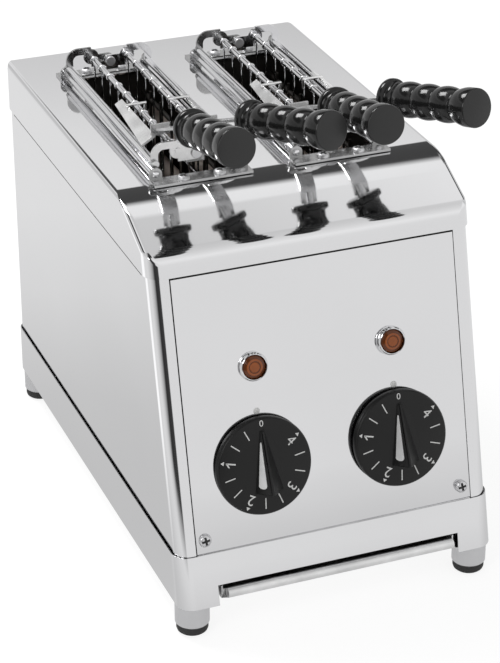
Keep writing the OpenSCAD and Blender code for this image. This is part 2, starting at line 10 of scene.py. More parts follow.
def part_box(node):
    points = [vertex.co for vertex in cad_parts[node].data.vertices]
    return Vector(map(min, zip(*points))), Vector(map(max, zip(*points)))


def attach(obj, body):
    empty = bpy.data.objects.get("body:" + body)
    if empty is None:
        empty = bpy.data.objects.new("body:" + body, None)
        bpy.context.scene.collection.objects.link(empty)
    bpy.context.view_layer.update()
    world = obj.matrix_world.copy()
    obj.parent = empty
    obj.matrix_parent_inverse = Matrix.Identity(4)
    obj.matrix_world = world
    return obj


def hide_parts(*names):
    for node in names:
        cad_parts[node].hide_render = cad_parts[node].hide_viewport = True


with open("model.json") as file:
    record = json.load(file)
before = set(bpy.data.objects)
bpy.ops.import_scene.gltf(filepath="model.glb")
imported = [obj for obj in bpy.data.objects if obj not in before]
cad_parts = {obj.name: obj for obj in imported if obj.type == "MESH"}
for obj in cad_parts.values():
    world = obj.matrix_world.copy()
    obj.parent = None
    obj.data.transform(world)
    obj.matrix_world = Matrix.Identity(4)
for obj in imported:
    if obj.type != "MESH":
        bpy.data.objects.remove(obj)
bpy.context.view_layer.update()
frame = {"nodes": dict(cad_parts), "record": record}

bl_info = {
    "name": "Sandwich Toaster",
    "version": (1, 0, 0),
    "blender": (4, 5, 0),
    "location": "View3D > Sidebar > Toaster",
    "description": "Builds the polished casing, tongs, knobs, lamps and studio of a two-slot sandwich toaster",
    "category": "Object",
}

MM = 0.001


def vectors(box):
    """Lowest and highest corner of a box as vectors."""
    return [Vector(corner) for corner in box]


def in_mm(*points):
    """Points that are given in millimetres."""
    return [tuple(MM * value for value in point) for point in points]


# Places that the frame gives
JOINTS = {joint["name"]: joint for joint in frame["record"]["behaviour"]["joints"]}
KNOB_AXIS = Vector(JOINTS["timer_turn_left"]["axis"])
LEAN = math.asin(-KNOB_AXIS.z)
PANEL_TURN = Matrix.Rotation(math.pi / 2 - LEAN, 4, "X")
COVER_LOW, COVER_HIGH = vectors(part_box("top_cover"))
BASE_LOW, BASE_HIGH = vectors(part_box("base_frame"))
SIDE_LOW, SIDE_HIGH = vectors(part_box("side_panel_left"))
PANEL_LOW = vectors(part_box("front_panel"))[0]
HALF_WIDTH = COVER_HIGH.x
TOP_Z = COVER_HIGH.z
SEAM_Z = BASE_HIGH.z
SHEET_INSET = 1.3 * MM
SIDES = {"left": -1, "right": 1}
TONGS = ("tong1", "tong2")


def front_y(z):
    """Outer plane of the leaning front at a height."""
    return BASE_LOW.y + (z - BASE_LOW.z) * math.tan(LEAN)


def sheet_y(z):
    """Outer plane of the front sheets, which lie behind the base and the cover, at a height."""
    return front_y(z) + SHEET_INSET / math.cos(LEAN)


def panel_place(name):
    """Frame at a timer joint: X across, Y up the panel, Z out of it."""
    return Matrix.Translation(JOINTS[name]["pos_m"]) @ PANEL_TURN


def slot_x(tong):
    """Centre line of a slot."""
    return JOINTS[f"{tong}_open_left"]["pos_m"][0]


# Settings

class CasingSettings(bpy.types.PropertyGroup):
    sheet: bpy.props.FloatProperty(
        name="Sheet", description="Thickness of the sheet steel", default=1.2 * MM, unit="LENGTH")
    corner: bpy.props.FloatProperty(
        name="Corner", description="Radius of the upright corners", default=10 * MM, unit="LENGTH")
    edge: bpy.props.FloatProperty(
        name="Edge", description="Radius of the cover's long edges", default=3.5 * MM, unit="LENGTH")
    lip: bpy.props.FloatProperty(
        name="Lip", description="Height of the cover's front lip", default=12 * MM, unit="LENGTH")
    facet: bpy.props.FloatProperty(
        name="Facet", description="Slope of the facet above the lip", default=math.radians(24.5),
        subtype="ANGLE")
    lip_bend: bpy.props.FloatProperty(
        name="Lip bend", description="Radius between facet and lip", default=13 * MM, unit="LENGTH")
    top_bend: bpy.props.FloatProperty(
        name="Top bend", description="Radius between facet and flat top", default=75 * MM, unit="LENGTH")
    panel_half: bpy.props.FloatProperty(
        name="Panel half width", description="Half width of the front panel", default=89.3 * MM,
        unit="LENGTH")
    seam: bpy.props.FloatProperty(
        name="Seam", description="Gap that shows between the sheets", default=0.5 * MM, unit="LENGTH")
    steel: bpy.props.FloatVectorProperty(
        name="Steel", description="Colour of the polished sheet", default=(0.80, 0.80, 0.81), subtype="COLOR")
    chamber: bpy.props.FloatVectorProperty(
        name="Chamber", description="Colour of the scorched chamber", default=(0.012, 0.0115, 0.011),
        subtype="COLOR")


class ControlSettings(bpy.types.PropertyGroup):
    knob_radius: bpy.props.FloatProperty(
        name="Knob radius", description="Radius of a timer knob", default=30 * MM, unit="LENGTH")
    digit_size: bpy.props.FloatProperty(
        name="Digit size", description="Height of the scale's digits", default=9.0 * MM, unit="LENGTH")
    lamp_rise: bpy.props.FloatProperty(
        name="Lamp rise", description="Lamp above knob, up the panel", default=60 * MM, unit="LENGTH")
    black: bpy.props.FloatVectorProperty(
        name="Black", description="Colour of the moulded knobs", default=(0.006, 0.006, 0.006),
        subtype="COLOR")
    print_white: bpy.props.FloatVectorProperty(
        name="Print", description="Colour of the printed scale", default=(0.80, 0.80, 0.79), subtype="COLOR")
    amber: bpy.props.FloatVectorProperty(
        name="Amber", description="Colour of the lamp lenses", default=(0.40, 0.105, 0.022), subtype="COLOR")


class TongSettings(bpy.types.PropertyGroup):
    wires: bpy.props.IntProperty(
        name="Wires", description="Upright wires on one cage", default=10)
    wire_pitch: bpy.props.FloatProperty(
        name="Wire pitch", description="Distance between upright wires", default=16 * MM, unit="LENGTH")
    wire: bpy.props.FloatProperty(
        name="Wire", description="Radius of a cage wire", default=0.65 * MM, unit="LENGTH")
    rod: bpy.props.FloatProperty(
        name="Rod", description="Radius of the rod that carries a cage", default=1.8 * MM, unit="LENGTH")
    handle_length: bpy.props.FloatProperty(
        name="Handle", description="Length of a handle", default=74 * MM, unit="LENGTH")
    handle_rise: bpy.props.FloatProperty(
        name="Handle rise", description="Slope of the handles", default=math.radians(12.5), subtype="ANGLE")
    handle_turn: bpy.props.FloatProperty(
        name="Handle turn", description="Turn of the right handles", default=math.radians(18),
        subtype="ANGLE")
    grip: bpy.props.FloatVectorProperty(
        name="Grip", description="Colour of the handles", default=(0.008, 0.008, 0.008), subtype="COLOR")


class StudioSettings(bpy.types.PropertyGroup):
    camera_place: bpy.props.FloatVectorProperty(
        name="Camera", description="Place of the camera", default=(-0.4893, -1.2570, 0.8177),
        subtype="TRANSLATION")
    azimuth: bpy.props.FloatProperty(
        name="Azimuth", description="Turn of the view", default=math.radians(-21.525), subtype="ANGLE")
    elevation: bpy.props.FloatProperty(
        name="Elevation", description="Height of the view", default=math.radians(27.769), subtype="ANGLE")
    lens: bpy.props.FloatProperty(
        name="Lens", description="Focal length on a 36 mm wide sensor, in millimetres", default=170.53)
    floor: bpy.props.FloatVectorProperty(
        name="Floor", description="Colour of the floor", default=(0.86, 0.86, 0.86), subtype="COLOR")


def settings():
    """All settings of the open scene."""
    scene = bpy.context.scene
    return scene.toaster_casing, scene.toaster_controls, scene.toaster_tongs, scene.toaster_studio


# Meshes

def mesh_from(name, bm, smooth_angle=None):
    """Mesh with outward faces from a bmesh, smooth up to an angle."""
    bmesh.ops.recalc_face_normals(bm, faces=bm.faces)
    mesh = bpy.data.meshes.new(name)
    bm.to_mesh(mesh)
    bm.free()
    mesh.shade_smooth()
    if smooth_angle is not None:
        mesh.set_sharp_from_angle(angle=smooth_angle)
    return mesh


def add_object(name, mesh):
    """Object at the origin that shows a mesh."""
    piece = bpy.data.objects.new(name, mesh)
    bpy.context.scene.collection.objects.link(piece)
    return piece


def evaluated_mesh(piece):
    """Plain mesh of an object with its modifiers applied."""
    graph = bpy.context.evaluated_depsgraph_get()
    return bpy.data.meshes.new_from_object(piece.evaluated_get(graph), depsgraph=graph)


def settle(piece):
    """Replaces an object's mesh by its modified mesh and removes the modifiers."""
    mesh = evaluated_mesh(piece)
    piece.modifiers.clear()
    piece.data = mesh
    return piece


def joined(name, meshes, smooth_angle=math.radians(35)):
    """One mesh from several, keeping their smooth and sharp edges."""
    bm = bmesh.new()
    for mesh in meshes:
        bm.from_mesh(mesh)
    mesh = bpy.data.meshes.new(name)
    bm.to_mesh(mesh)
    bm.free()
    mesh.shade_smooth()
    mesh.set_sharp_from_angle(angle=smooth_angle)
    return mesh


def dress(piece, body, slot, finishes, *nodes):
    """Gives a finished piece its materials, its body and the frame nodes that it stands for. The slot is not
    used.
    """
    picks = [min(polygon.material_index, len(finishes) - 1) for polygon in piece.data.polygons]
    piece.data.materials.clear()
    for finish in finishes:
        piece.data.materials.append(finish)
    piece.data.polygons.foreach_set("material_index", picks)
    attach(piece, body)
    if nodes:
        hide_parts(*nodes)


def lathe(profile, segments):
    """Bmesh of an outline of (radius, height) points turned about Z."""
    bm = bmesh.new()
    rings = []
    for radius, height in profile:
        if radius < 1e-7:
            rings.append([bm.verts.new((0, 0, height))])
            continue
        turns = [2 * math.pi * k / segments for k in range(segments)]
        rings.append([bm.verts.new((radius * math.cos(a), radius * math.sin(a), height)) for a in turns])
    for low, high in zip(rings, rings[1:]):
        for k in range(segments):
            ring = [low[k % len(low)], low[(k + 1) % len(low)],
                    high[(k + 1) % len(high)], high[k % len(high)]]
            corners = list(dict.fromkeys(ring))
            if len(corners) > 2:
                bm.faces.new(corners)
    return bm


def tube(path, radius, sides):
    """Bmesh of a round wire along a path of points, with closed ends."""
    bm = bmesh.new()
    rings = []
    side_way = None
    for k, point in enumerate(path):
        ahead = (path[min(k + 1, len(path) - 1)] - path[max(k - 1, 0)]).normalized()
        if side_way is None:
            side_way = ahead.orthogonal().normalized()
        side_way = (side_way - ahead * side_way.dot(ahead)).normalized()
        other = ahead.cross(side_way)
        turns = [2 * math.pi * n / sides for n in range(sides)]
        ways = [math.cos(a) * side_way + math.sin(a) * other for a in turns]
        rings.append([bm.verts.new(point + radius * way) for way in ways])
    for low, high in zip(rings, rings[1:]):
        for n in range(sides):
            bm.faces.new([low[n], low[(n + 1) % sides], high[(n + 1) % sides], high[n]])
    bm.faces.new(rings[0])
    bm.faces.new(rings[-1])
    return bm


def rod(name, start, end, radius, sides):
    """Mesh of a straight round rod with rounded ends."""
    length = (end - start).length
    soft = 0.35 * radius
    outline = [(0, 0), (radius - soft, 0), (radius - 0.3 * soft, 0.3 * soft), (radius, soft)]
    profile = outline + [(r, length - h) for r, h in reversed(outline)]
    mesh = mesh_from(name, lathe(profile, sides), math.radians(50))
    mesh.transform(Matrix.Translation(start) @ (end - start).to_track_quat("Z", "Y").to_matrix().to_4x4())
    return mesh


def plain_box(low, high):
    """Bmesh of a box between two corners."""
    bm = bmesh.new()
    bmesh.ops.create_cube(bm, size=1)
    low, high = Vector(low), Vector(high)
    bmesh.ops.scale(bm, vec=high - low, verts=bm.verts)
    bmesh.ops.translate(bm, vec=(low + high) / 2, verts=bm.verts)
    return bm


def soft_edges(bm, width, segments=2):
    """Rounds all edges of a bmesh."""
    bmesh.ops.bevel(bm, geom=bm.edges, offset=width, segments=segments, affect="EDGES", profile=0.5)
    return bm


def box_mesh(name, low, high, soften):
    """Mesh of a box with softened edges."""
    return mesh_from(name, soft_edges(plain_box(low, high), soften), math.radians(40))


def flat_shape(points, low, high):
    """Bmesh of an outline, its points in millimetres, raised from low to high."""
    bm = bmesh.new()
    face = bm.faces.new([bm.verts.new((x * MM, y * MM, low)) for x, y in points])
    raised = bmesh.ops.extrude_face_region(bm, geom=[face])
    top = [part for part in raised["geom"] if isinstance(part, bmesh.types.BMVert)]
    bmesh.ops.translate(bm, vec=(0, 0, high - low), verts=top)
    return bm


def softened(piece, width, angle=math.radians(32)):
    """Rounds the sharp edges of an object's mesh and evens its normals."""
    edge = piece.modifiers.new("edges", "BEVEL")
    edge.limit_method = "ANGLE"
    edge.angle_limit = angle
    edge.width = width
    edge.segments = 2
    even = piece.modifiers.new("normals", "WEIGHTED_NORMAL")
    even.keep_sharp = True
    return settle(piece)


def node_copy(name, node, soften):
    """Copy of a frame node with its triangles merged and its sharp edges rounded."""
    bm = bmesh.new()
    bm.from_mesh(frame["nodes"][node].data)
    bmesh.ops.remove_doubles(bm, verts=bm.verts, dist=0.002 * MM)
    bmesh.ops.dissolve_limit(bm, angle_limit=math.radians(0.5), verts=bm.verts, edges=bm.edges)
    mesh = bpy.data.meshes.new(name)
    bm.to_mesh(mesh)
    bm.free()
    mesh.shade_smooth()
    return softened(add_object(name, mesh), soften)


# Copies made by Geometry Nodes

def copies_tree(name, inputs):
    """Empty node tree with a material input and the given inputs, and its group nodes."""
    tree = bpy.data.node_groups.new(name, "GeometryNodeTree")
    tree.interface.new_socket("Geometry", in_out="OUTPUT", socket_type="NodeSocketGeometry")
    common = {"Source": "NodeSocketObject", "Count": "NodeSocketInt", "Finish": "NodeSocketMaterial"}
    for label, kind in (common | inputs).items():
        tree.interface.new_socket(label, in_out="INPUT", socket_type=kind)
    return tree, tree.nodes.new("NodeGroupInput"), tree.nodes.new("NodeGroupOutput")


def finish_copies(tree, given, output, points, rotation=None):
    """Puts the source on the points, turns the copies into mesh and sets the material."""
    source = tree.nodes.new("GeometryNodeObjectInfo")
    place = tree.nodes.new("GeometryNodeInstanceOnPoints")
    plain = tree.nodes.new("GeometryNodeRealizeInstances")
    finish = tree.nodes.new("GeometryNodeSetMaterial")
    link = tree.links.new
    link(given.outputs["Source"], source.inputs["Object"])
    link(points, place.inputs["Points"])
    link(source.outputs["Geometry"], place.inputs["Instance"])
    if rotation is not None:
        link(rotation, place.inputs["Rotation"])
    link(place.outputs["Instances"], plain.inputs["Geometry"])
    link(plain.outputs["Geometry"], finish.inputs["Geometry"])
    link(given.outputs["Finish"], finish.inputs["Material"])
    link(finish.outputs["Geometry"], output.inputs["Geometry"])
    return tree


def row_tree():
    """Copies of a source in a straight row."""
    tree, given, output = copies_tree(
        "row_of_copies", {"Start": "NodeSocketVector", "Step": "NodeSocketVector"})
    line = tree.nodes.new("GeometryNodeMeshLine")
    line.mode = "OFFSET"
    tree.links.new(given.outputs["Count"], line.inputs["Count"])
    tree.links.new(given.outputs["Start"], line.inputs["Start Location"])
    tree.links.new(given.outputs["Step"], line.inputs["Offset"])
    return finish_copies(tree, given, output, line.outputs["Mesh"])


def ring_tree():
    """Copies of a source turned about Z, from a first angle in even steps."""
    tree, given, output = copies_tree(
        "ring_of_copies", {"First": "NodeSocketFloat", "Turn": "NodeSocketFloat"})
    line = tree.nodes.new("GeometryNodeMeshLine")
    line.inputs["Offset"].default_value = (0, 0, 0)
    index = tree.nodes.new("GeometryNodeInputIndex")
    angle = tree.nodes.new("ShaderNodeMath")
    angle.operation = "MULTIPLY_ADD"
    turn = tree.nodes.new("ShaderNodeCombineXYZ")
    link = tree.links.new
    link(given.outputs["Count"], line.inputs["Count"])
    link(index.outputs["Index"], angle.inputs[0])
    link(given.outputs["Turn"], angle.inputs[1])
    link(given.outputs["First"], angle.inputs[2])
    link(angle.outputs["Value"], turn.inputs["Z"])
    return finish_copies(tree, given, output, line.outputs["Mesh"], turn.outputs["Vector"])


def copies(name, tree_maker, source_mesh, count, finish, **values):
    """Plain mesh of many copies of a source mesh."""
    tree = bpy.data.node_groups.get(tree_maker.__name__) or tree_maker()
    tree.name = tree_maker.__name__
    source = add_object(f"{name}_source", source_mesh)
    carrier = add_object(f"{name}_carrier", bpy.data.meshes.new(name))
    maker = carrier.modifiers.new("copies", "NODES")
    maker.node_group = tree
    given = {"Source": source, "Count": count, "Finish": finish} | values
    for item in tree.interface.items_tree:
        if item.in_out == "INPUT":
            maker[item.identifier] = given[item.name]
    carrier.update_tag()
    mesh = evaluated_mesh(carrier)
    mesh.name = name
    for helper in (carrier, source):
        bpy.data.objects.remove(helper)
    mesh.shade_smooth()
    return mesh


# Materials

class Wire:
    """A node's output; arithmetic on it adds Math nodes."""

    def __init__(self, shader, socket):
        self.shader = shader
        self.socket = socket

    def math(self, operation, first, second):
        return self.shader.node("ShaderNodeMath", {"operation": operation}, {0: first, 1: second})

    def __add__(self, other):
        return self.math("ADD", self, other)

    def __radd__(self, other):
        return self.math("ADD", other, self)

    def __sub__(self, other):
        return self.math("SUBTRACT", self, other)

    def __rsub__(self, other):
        return self.math("SUBTRACT", other, self)

    def __mul__(self, other):
        return self.math("MULTIPLY", self, other)

    def __rmul__(self, other):
        return self.math("MULTIPLY", other, self)


class Shader:
    """A node tree of a material or a world."""

    def __init__(self, owner):
        owner.use_nodes = True
        self.tree = owner.node_tree
        self.tree.nodes.clear()

    def node(self, kind, values=None, sockets=None, out=0):
        """Adds a node: its settings first, then its sockets' values or links. Returns one output."""
        made = self.tree.nodes.new(kind)
        for key, value in (values or {}).items():
            if key == "stops":
                self.set_stops(made.color_ramp, value)
            else:
                setattr(made, key, value)
        for key, value in (sockets or {}).items():
            if isinstance(value, Wire):
                self.tree.links.new(value.socket, made.inputs[key])
            else:
                made.inputs[key].default_value = value
        return Wire(self, made.outputs[out]) if made.outputs else None

    @staticmethod
    def set_stops(ramp, stops):
        """Sets a ramp's stops to grey levels or colours."""
        while len(ramp.elements) < len(stops):
            ramp.elements.new(1.0)
        for element, (place, value) in zip(ramp.elements, stops):
            element.position = place
            element.color = (*value, 1) if isinstance(value, tuple) else (value, value, value, 1)

    def place(self, scale=(1, 1, 1)):
        """Object coordinates, scaled."""
        source = self.node("ShaderNodeTexCoord", out="Object")
        return self.node("ShaderNodeMapping", sockets={"Vector": source, "Scale": scale})

    def noise(self, scale, detail=3.0, stretch=(1, 1, 1)):
        """Cloudy noise on object coordinates."""
        return self.node(
            "ShaderNodeTexNoise", sockets={"Vector": self.place(stretch), "Scale": scale, "Detail": detail})

    def span(self, value, low, high):
        """A 0 to 1 value mapped to a range."""
        return value * (high - low) + low

    def ramp(self, value, *stops):
        """Colour from a value."""
        return self.node("ShaderNodeValToRGB", {"stops": stops}, {"Fac": value})

    def mixed(self, factor, first, second):
        """Mix of two colours."""
        made = {"Factor": factor, 6: self.tinted(first), 7: self.tinted(second)}
        return self.node("ShaderNodeMix", {"data_type": "RGBA"}, made, out=2)

    @staticmethod
    def tinted(colour):
        """A link as it is, or a plain colour with its alpha."""
        return colour if isinstance(colour, Wire) else (*colour[:3], 1)

    def vector_math(self, operation, *given, out="Vector"):
        """Maths on links and plain vectors."""
        return self.node("ShaderNodeVectorMath", {"operation": operation}, dict(enumerate(given)), out=out)

    def front_cards(self, way, seen, gap_share=1.0, bright_share=1.0):
        """Colour seen past the left front corner: a bright card, a dark gap, then the plain front."""
        left_way = (-0.839, 0.545, 0)
        flat = self.vector_math("MULTIPLY", way, (1, 1, 0))
        unit = self.vector_math("NORMALIZE", flat)
        turned = self.vector_math("DOT_PRODUCT", unit, left_way, out="Value")
        depth = self.node("ShaderNodeSeparateXYZ", sockets={"Vector": unit}, out="Y")
        front = self.ramp(depth * 0.5 + 0.5, (0.50, 1.0), (0.60, 0.0))
        left = turned * 0.5 + 0.5
        gap = self.ramp(
            left, (0.34, 0.0), (0.38, 0.95), (0.60, 0.97), (0.69, 0.55), (0.80, 0.25), (0.92, 0.0))
        bright = self.ramp(depth * 0.5 + 0.5, (0.70, 0.0), (0.76, 1.0), (0.90, 1.0), (0.95, 0.0))
        seen = self.mixed(gap * front * gap_share, seen, (0.01, 0.01, 0.01))
        bright = bright * self.ramp(left, (0.80, 0.0), (0.88, 1.0)) * bright_share
        return self.mixed(bright, seen, (1.25, 1.25, 1.25))

    def bump(self, height, strength, distance):
        """Normal from a height."""
        return self.node(
            "ShaderNodeBump", sockets={"Height": height, "Strength": strength, "Distance": distance})

    def surface(self, **sockets):
        """Principled surface to the output."""
        named = {key.replace("_", " ").title(): value for key, value in sockets.items()}
        named = {key.replace("Ior", "IOR"): value for key, value in named.items()}
        shade = self.node("ShaderNodeBsdfPrincipled", sockets=named)
        self.node("ShaderNodeOutputMaterial", sockets={"Surface": shade})


def material(name):
    """New material and its shader."""
    made = bpy.data.materials.new(name)
    return made, Shader(made)


def once(maker):
    """Makes a material the first time and hands out the same one later."""
    def found(*args):
        name = "_".join([maker.__name__, *(str(a) for a in args)])
        return bpy.data.materials.get(name) or maker(name, *args)
    return found


@once
def polished_sheet(name, grain):
    """Mirror-polished sheet with faint polishing lines along one axis, smears and a little haze."""
    casing = settings()[0]
    made, s = material(name)
    stretch = {"x": (6, 700, 700), "z": (700, 700, 6)}[grain]
    lines = s.noise(1.0, 4.0, stretch)
    smears = s.noise(9.0, 3.0)
    fine = s.noise(140.0, 2.0)
    tone = tuple(0.94 * c for c in casing.steel)
    s.surface(
        base_color=s.mixed(smears, casing.steel[:], tone),
        metallic=1.0,
        roughness=s.span(smears, 0.02, 0.07) + lines * 0.03,
        normal=s.bump(lines * 0.7 + fine * 0.3, 0.02, 0.05 * MM))
    return made


@once
def bright_wire(name):
    """Drawn wire and rod: bright, with draw lines and slightly heat-tinted patches."""
    made, s = material(name)
    patches = s.noise(38.0, 4.0)
    lines = s.noise(1.0, 2.0, (900, 12, 900))
    s.surface(
        base_color=s.ramp(
            patches, (0.3, (0.66, 0.66, 0.67)), (0.62, (0.80, 0.80, 0.80)), (0.85, (0.70, 0.67, 0.62))),
        metallic=1.0,
        roughness=s.span(patches, 0.10, 0.24) + lines * 0.06,
        normal=s.bump(lines, 0.05, 0.05 * MM))
    return made


@once
def bright_sheet(name, level, haze=0.0):
    """Bent sheet of a brightness and a haze, with rolling marks and handling scuffs."""
    made, s = material(name)
    rolled = s.noise(1.0, 3.0, (40, 300, 40))
    scuffs = s.noise(75.0, 6.0)
    s.surface(
        base_color=s.ramp(scuffs, (0.35, 0.8 * level), (0.7, level)),
        metallic=1.0,
        roughness=s.span(scuffs, 0.12 + haze, 0.30 + haze) + rolled * 0.06,
        normal=s.bump(rolled * 0.6 + scuffs * 0.4, 0.04, 0.05 * MM))
    return made


@once
def turned_steel(name):
    """Turned steel with fine rings."""
    made, s = material(name)
    rings = s.node(
        "ShaderNodeTexWave", {"wave_type": "BANDS", "bands_direction": "Z"},
        {"Vector": s.place(), "Scale": 420.0, "Distortion": 1.5, "Detail": 2.0}, out="Fac")
    haze = s.noise(60.0, 3.0)
    s.surface(
        base_color=s.mixed(haze, (0.70, 0.70, 0.71), (0.58, 0.58, 0.59)),
        metallic=1.0,
        roughness=s.span(haze, 0.12, 0.24),
        normal=s.bump(rings, 0.06, 0.04 * MM))
    return made


@once
def scorched_steel(name):
    """Chamber sheet, darkened by heat and crumbs."""
    casing = settings()[0]
    made, s = material(name)
    soot = s.noise(26.0, 6.0)
    warm = tuple(c * f for c, f in zip(casing.chamber, (2.0, 1.7, 1.4)))
    s.surface(
        base_color=s.mixed(soot, casing.chamber[:], warm),
        metallic=s.span(soot, 0.2, 0.6),
        roughness=s.span(soot, 0.45, 0.8),
        normal=s.bump(soot, 0.25, 0.2 * MM))
    return made


@once
def gloss_handle(name):
    """Glossy moulded handle with a faint flow pattern."""
    tongs = settings()[2]
    made, s = material(name)
    flow = s.noise(60.0, 4.0)
    dust = s.noise(420.0, 2.0)
    lift = tuple(1.8 * c for c in tongs.grip)
    s.surface(
        base_color=s.mixed(flow, tongs.grip[:], lift),
        roughness=s.span(dust, 0.10, 0.18),
        specular_ior_level=0.35,
        normal=s.bump(flow * 0.7 + dust * 0.3, 0.03, 0.1 * MM))
    return made


@once
def satin_end(name):
    """Flat turned end of a handle: satin dark grey."""
    made, s = material(name)
    haze = s.noise(70.0, 5.0)
    s.surface(
        base_color=s.mixed(haze, (0.016, 0.016, 0.016), (0.026, 0.026, 0.026)),
        roughness=s.span(haze, 0.42, 0.56),
        normal=s.bump(s.noise(600.0, 2.0), 0.08, 0.05 * MM))
    return made


@once
def moulded_knob(name):
    """Satin moulded plastic with a fine sparked texture."""
    controls = settings()[1]
    made, s = material(name)
    cloud = s.noise(35.0, 3.0)
    spark = s.noise(1500.0, 2.0)
    lift = tuple(1.7 * c for c in controls.black)
    s.surface(
        base_color=s.mixed(cloud, controls.black[:], lift),
        roughness=s.span(cloud, 0.30, 0.42),
        specular_ior_level=0.3,
        normal=s.bump(spark, 0.12, 0.04 * MM))
    return made


@once
def scale_print(name):
    """White scale print, slightly worn."""
    controls = settings()[1]
    made, s = material(name)
    worn = s.noise(480.0, 4.0)
    dull = tuple(0.82 * c for c in controls.print_white)
    s.surface(
        base_color=s.mixed(worn, controls.print_white[:], dull),
        roughness=s.span(worn, 0.40, 0.60),
        normal=s.bump(worn, 0.05, 0.02 * MM))
    return made


@once
def bright_inlay(name):
    """Bright foil inlay with a fine grain."""
    made, s = material(name)
    grain = s.noise(220.0, 4.0)
    s.surface(
        base_color=s.mixed(grain, (0.82, 0.82, 0.82), (0.66, 0.66, 0.66)),
        metallic=0.6,
        roughness=s.span(grain, 0.25, 0.40),
        normal=s.bump(grain, 0.05, 0.05 * MM))
    return made


@once
def amber_lens(name, depth):
    """Amber lamp lens, cloudy, under a clear gloss. The depth darkens the colour; the lamps use the darker
    lens as painted shade in the dome's groove and on its slope beside the bezel.
    """
    controls = settings()[1]
    made, s = material(name)
    cloud = s.noise(260.0, 4.0)
    clear = tuple((1 - depth) * c for c in controls.amber)
    s.surface(
        base_color=s.mixed(cloud, tuple(0.6 * c for c in clear), clear),
        roughness=s.span(cloud, 0.14, 0.24),
        coat_weight=0.2,
        specular_ior_level=0.3,
        normal=s.bump(cloud, 0.15, 0.1 * MM))
    return made


@once
def black_rubber(name):
    """Matte rubber with a grainy skin. The same black is also painted shade in the cover's seam and in the
    screws' cross recesses.
    """
    made, s = material(name)
    grain = s.noise(700.0, 3.0)
    s.surface(
        base_color=s.mixed(grain, (0.010, 0.010, 0.010), (0.024, 0.024, 0.024)),
        roughness=s.span(grain, 0.55, 0.75),
        normal=s.bump(grain, 0.3, 0.08 * MM))
    return made


@once
def plain_plastic(name, level):
    """Matte moulded plastic of a grey level."""
    made, s = material(name)
    grain = s.noise(300.0, 3.0)
    s.surface(
        base_color=s.mixed(grain, (level,) * 3, (0.8 * level,) * 3),
        roughness=s.span(grain, 0.45, 0.6),
        normal=s.bump(grain, 0.1, 0.05 * MM))
    return made


@once
def fired_ceramic(name):
    """Unglazed ceramic."""
    made, s = material(name)
    grain = s.noise(240.0, 5.0)
    s.surface(
        base_color=s.mixed(grain, (0.80, 0.78, 0.72), (0.66, 0.62, 0.55)),
        roughness=s.span(grain, 0.6, 0.8),
        normal=s.bump(grain, 0.15, 0.05 * MM))
    return made


@once
def milky_quartz(name):
    """Milky heater tube with a dim core."""
    made, s = material(name)
    cloud = s.noise(45.0, 4.0)
    s.surface(
        base_color=s.mixed(cloud, (0.50, 0.44, 0.40), (0.30, 0.25, 0.22)),
        roughness=s.span(cloud, 0.25, 0.4),
        coat_weight=0.4)
    return made


# Casing

def cut(piece, low, high):
    """Cuts a box out of an object."""
    cutter = add_object("cutter", mesh_from("cutter", plain_box(low, high)))
    hole = piece.modifiers.new("hole", "BOOLEAN")
    hole.operation = "DIFFERENCE"
    hole.solver = "EXACT"
    hole.object = cutter
    settle(piece)
    bpy.data.objects.remove(cutter)


def add_bends(piece, width):
    """Bends the edges that carry a bevel weight."""
    bend = piece.modifiers.new("bends", "BEVEL")
    bend.limit_method = "WEIGHT"
    bend.width = width
    bend.segments = 10
    return bend


def add_wall(piece, thickness):
    """Gives a skin its sheet thickness, inwards."""
    wall = piece.modifiers.new("wall", "SOLIDIFY")
    wall.thickness = thickness
    wall.offset = -1


def even_normals(piece):
    """Keeps flat faces flat in reflections beside their rounded edges."""
    piece.data.shade_smooth()
    even = piece.modifiers.new("normals", "WEIGHTED_NORMAL")
    even.keep_sharp = True
    piece.data.set_sharp_from_angle(angle=math.radians(40))
    settle(piece)


def upright(edge):
    """Is an edge one of the upright corners?"""
    a, b = (v.co for v in edge.verts)
    return abs(a.x - b.x) < MM and abs(a.z - b.z) > MM


